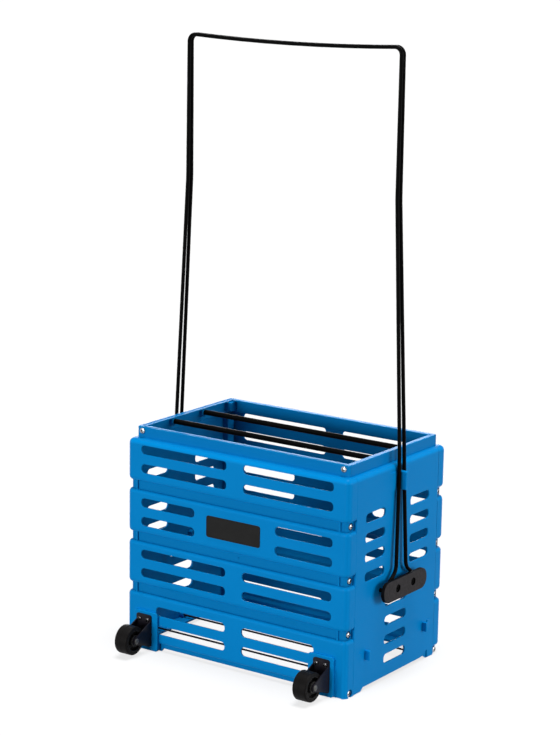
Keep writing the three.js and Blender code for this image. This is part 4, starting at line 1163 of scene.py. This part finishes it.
def fork():
    tall = plate_top - plate_bottom
    outline = rounded_outline(0, plate_bottom + tall / 2, fork_width, tall, 3)
    piece = shaped(prism(outline, fork_back - fork_sheet, fork_back, "Y"))
    leg = [(fork_back, plate_bottom + fork_sheet), (fork_back, leg_top), (fork_back - 2.7, leg_top)]
    leg += arc(-axle_y, axle_height, 5.2, 90, 270, 16)
    legs = [prism(leg, side * (fork_width / 2 - fork_sheet), side * fork_width / 2, "X") for side in SIDES]
    bore = rod(2.7, -fork_width, fork_width, -axle_y, axle_height)
    holes = rods(fork_hole, fork_back - 3, fork_back + 1, fork_seats, "Y")
    worked(piece, joins(*legs) + cuts(bore, holes))
    bevel = piece.modifiers.new("sheet edges", "BEVEL")
    bevel.width = 0.35
    bevel.segments = 2
    bevel.angle_limit = sharp_turn
    return shaded(plain(piece))


print("a fork is", fork_width, "mm wide and", plate_top - plate_bottom, "tall")

# %% [markdown]
# The tyre is turned rubber with rounded shoulders and a fine parting line round its tread. The core
# inside it has a rim, a recessed web and a hub. Small teeth stand in a ring round the hub's end, and
# a tree sets them there. The axle is a pin with a domed head.

# %% The tree that sets a ring of teeth
tooth_tree, size, add = new_tree(
    "teeth_in_a_ring", Teeth="Int", Ring_Radius="Float", Tooth_Size="Vector", Place="Vector",
)
ring = add("MeshCircle", {"Vertices": size["Teeth"], "Radius": size["Ring Radius"]})
outward = add("InputPosition")
facing = add_node(tooth_tree, "FunctionNodeAlignRotationToVector", {"Vector": outward[0]}, axis="X")
tooth = add("MeshCube", {"Size": size["Tooth Size"]})
teeth = add("InstanceOnPoints", {"Points": ring[0], "Instance": tooth["Mesh"], "Rotation": facing[0]})
real_teeth = add("RealizeInstances", {"Geometry": teeth[0]})
upright = {"Geometry": real_teeth[0], "Translation": size["Place"], "Rotation": (0, math.pi / 2, 0)}
stood = add("Transform", upright)
toothed = add("MeshBoolean", {"Mesh 2": [size["Geometry"], stood[0]]}, operation="UNION", solver="EXACT")
end_tree(tooth_tree, size, toothed["Mesh"])

# %% The tyre
wheel_radius = 19.15
wheel_half = 10.0
bead_radius = wheel_radius - 4.6
shoulder = 2.0
hub_radius = 7.2
tooth_count = 13


def mirrored(right):
    """The other half of a turned profile, in the order that continues it."""
    return [(radius, -x) for radius, x in reversed(right)]


def tyre(place):
    right = [(bead_radius, wheel_half)]
    right += [(r, x) for x, r in arc(wheel_half - shoulder, wheel_radius - shoulder, shoulder, 0, 90)]
    line = wheel_radius - 0.25
    tread = [(wheel_radius, 0.5), (line, 0.2), (line, -0.2), (wheel_radius, -0.5)]
    return shaded(shaped(turned([*right, *tread, *mirrored(right)], 96, place, closed=True)), 30)


# %% The core and the axle
def core(place):
    outer, bore = bead_radius - 0.3, 2.6
    lip, web, edge = outer - 0.9, wheel_half - 6.5, 0.4
    right = [(bore, wheel_half), (hub_radius - edge, wheel_half), (hub_radius, wheel_half - edge)]
    right += [(hub_radius, web), (lip, web), (lip, wheel_half - edge), (lip + edge, wheel_half)]
    right.append((outer, wheel_half))
    piece = shaped(turned([*right, *mirrored(right)], 72, closed=True))
    for side in SIDES:
        run_tree(
            piece, tooth_tree, "core_plastic", Teeth=tooth_count, Ring_Radius=hub_radius + 0.1,
            Tooth_Size=(1.3, 1.6, 2.0), Place=(side * (wheel_half - 0.4), 0.0, 0.0),
        )
    plain(piece)
    piece.data.transform(Matrix.Translation(place))
    return shaded(piece)


def axle(place):
    stem, head, end, dome = 2.5, 3.8, fork_width / 2 + 0.2, 1.4
    right = [(stem, end), (head, end), (head, end + dome * 0.4)]
    right += [
        (head * math.cos(turn), end + dome * (0.4 + 0.6 * math.sin(turn))) for turn in quarter()[1:-1]
    ]
    right.append((0, end + dome))
    return shaded(shaped(turned([*mirrored(right), *right], 40, place)))


print("a wheel is", 2 * wheel_radius, "mm across and has", tooth_count, "teeth on each side")

# %% Set both wheels
for side, name in RIGHT_LEFT:
    place, wheel = (side * wheel_x, -axle_y, axle_height), f"{name}_wheel"
    piece = fork()
    piece.data.transform(Matrix.Translation((side * wheel_x, 0, 0)))
    settle(piece, f"{name}_pressed_fork", "basket", "black_steel", f"{wheel}_fork")
    settle(tyre(place), f"{name}_rubber_tread", wheel, "tyre_rubber", f"{name}_tyre")
    settle(core(place), f"{name}_toothed_core", wheel, "hub_plastic", f"{wheel}_core")
    settle(axle(place), f"{name}_domed_axle", "basket", "black_steel", f"{name}_axle", look="worn_cap")

# %% [markdown]
# A plate of black film lies in the plain place of the second band. It is left bare: only its soft
# edge and a fine raised border show. It stands a little proud of the moulding.

# %% The label plate
label_x, label_z = -1.3, 187.9
label_width, label_tall, label_radius = 85.3, 28.9, 3.5
label_face = -half_y - 0.7
border, sunk = 1.3, 0.25
film = (label_x, label_z, label_width, label_tall, label_radius)
inside = (label_width - 2 * border, label_tall - 2 * border, label_radius - border)
window = rounded_outline(label_x, label_z, *inside)
piece = shaped(cushioned(*film, 0.5 - half_y, label_face, 0.4, "Y"))
worked(piece, cuts(prism(window, label_face - 1, label_face + sunk, "Y")))
settle(shaded(piece), "label_plate", "basket", "black_plastic", look="label_film")

# %% [markdown]
# The floor and the light. A plain pale floor keeps a soft shadow, and lets the white room behind it
# through, so that legs swung down below it can be seen. To the camera, and to gloss that mirrors it,
# the room is white. The light itself is modest: a soft room, a large lamp from the right, which
# shapes the end face, a softer one from the front, one from above and one from behind. Each lamp is
# as far away as the sun, so the floor is lit evenly out to the horizon.

# %% What the camera sees of the room
def seen_ray(tree):
    """One for rays that see the room directly, in a mirror or through glass, and zero for its light."""
    rays = add_node(tree, "ShaderNodeLightPath")
    seen = 0.0
    for label in ("Is Camera Ray", "Is Glossy Ray", "Is Transmission Ray"):
        seen = add_node(tree, "ShaderNodeMath", {0: rays[label], 1: seen}, operation="ADD", use_clamp=True)[0]
    return seen


# %% The floor
floor_reach = 40.0
floor_clearness = 0.75
floor_bounce = 0.28
floor_paleness = 0.84
floor_mesh = bpy.data.meshes.new("floor")
floor_corners = [(-x * floor_reach, -y * floor_reach, 0) for x, y in QUADRANTS]
floor_mesh.from_pydata(floor_corners, [], [(0, 1, 2, 3)])
floor_paint = bpy.data.materials.new("floor_paint")
floor_paint.use_nodes = True
tree = floor_paint.node_tree
paint = tree.nodes["Principled BSDF"]
paleness = spread(tree, seen_ray(tree), 0.0, 1.0, floor_bounce, floor_paleness)
feed(tree, paint, {"Base Color": paleness, "Roughness": 0.9, "Specular IOR Level": 0.0})
clearness = maths(tree, "MULTIPLY", seen_ray(tree), floor_clearness)
clear = add_node(tree, "ShaderNodeBsdfTransparent")[0]
blend = add_node(tree, "ShaderNodeMixShader", {"Fac": clearness, 1: paint.outputs[0], 2: clear})
feed(tree, tree.nodes["Material Output"], {"Surface": blend[0]})
floor_mesh.materials.append(floor_paint)
linked("floor", floor_mesh)
print("floor:", 2 * floor_reach, "m across")

# %% The room
room_light = 0.1
world = bpy.data.worlds.new("studio")
bpy.context.scene.world = world
world.use_nodes = True
tree = world.node_tree
glow = spread(tree, seen_ray(tree), 0.0, 1.0, room_light, 1.0)
feed(tree, tree.nodes["Background"], {"Color": (1, 1, 1, 1), "Strength": glow})
print("the room lights with", room_light, "and looks white")


# %% The lamps
def lamp(name, toward, power, softness):
    light = bpy.data.lights.new(name, "SUN")
    light.energy = power
    light.angle = math.radians(softness)
    linked(name, light).rotation_euler = Vector(toward).to_track_quat("Z", "Y").to_euler()
    print(name, "lamp:", power)


lamp("key", toward=(1.0, 0.3, 0.14), power=2.1, softness=34)
lamp("front", toward=(-0.15, -1.0, 0.12), power=2.3, softness=24)
lamp("top", toward=(0.06, 0.0, 1.0), power=3.3, softness=24)
lamp("rear", toward=(-0.5, 1.0, 0.15), power=1.2, softness=30)

# %% [markdown]
# The camera stands where the photographer did: a little above the basket, off to its front right,
# far enough away that the sides hardly converge. It is aimed first, and then moved straight back.

# %% The camera
camera_azimuth = math.radians(34.806)
camera_elevation = math.radians(12.303)
camera_roll = math.radians(0.94)
camera_distance = 2.87223
aim_right = -0.01022
aim_height = 0.38348
focal_length = 107.914
sensor_width = 36

camera = linked("camera", bpy.data.cameras.new("camera"))
camera.data.lens = focal_length
camera.data.sensor_width = sensor_width
camera.matrix_world = (
    Matrix.Translation((0, middle_y, aim_height)) @ Matrix.Rotation(camera_azimuth, 4, "Z")
    @ Matrix.Translation((aim_right, 0, 0)) @ Matrix.Rotation(math.pi / 2 - camera_elevation, 4, "X")
    @ Matrix.Rotation(camera_roll, 4, "Z") @ Matrix.Translation((0, 0, camera_distance))
)
bpy.context.scene.camera = camera
bpy.context.scene.view_settings.view_transform = "Standard"
print("camera at", [round(value, 3) for value in camera.matrix_world.translation])
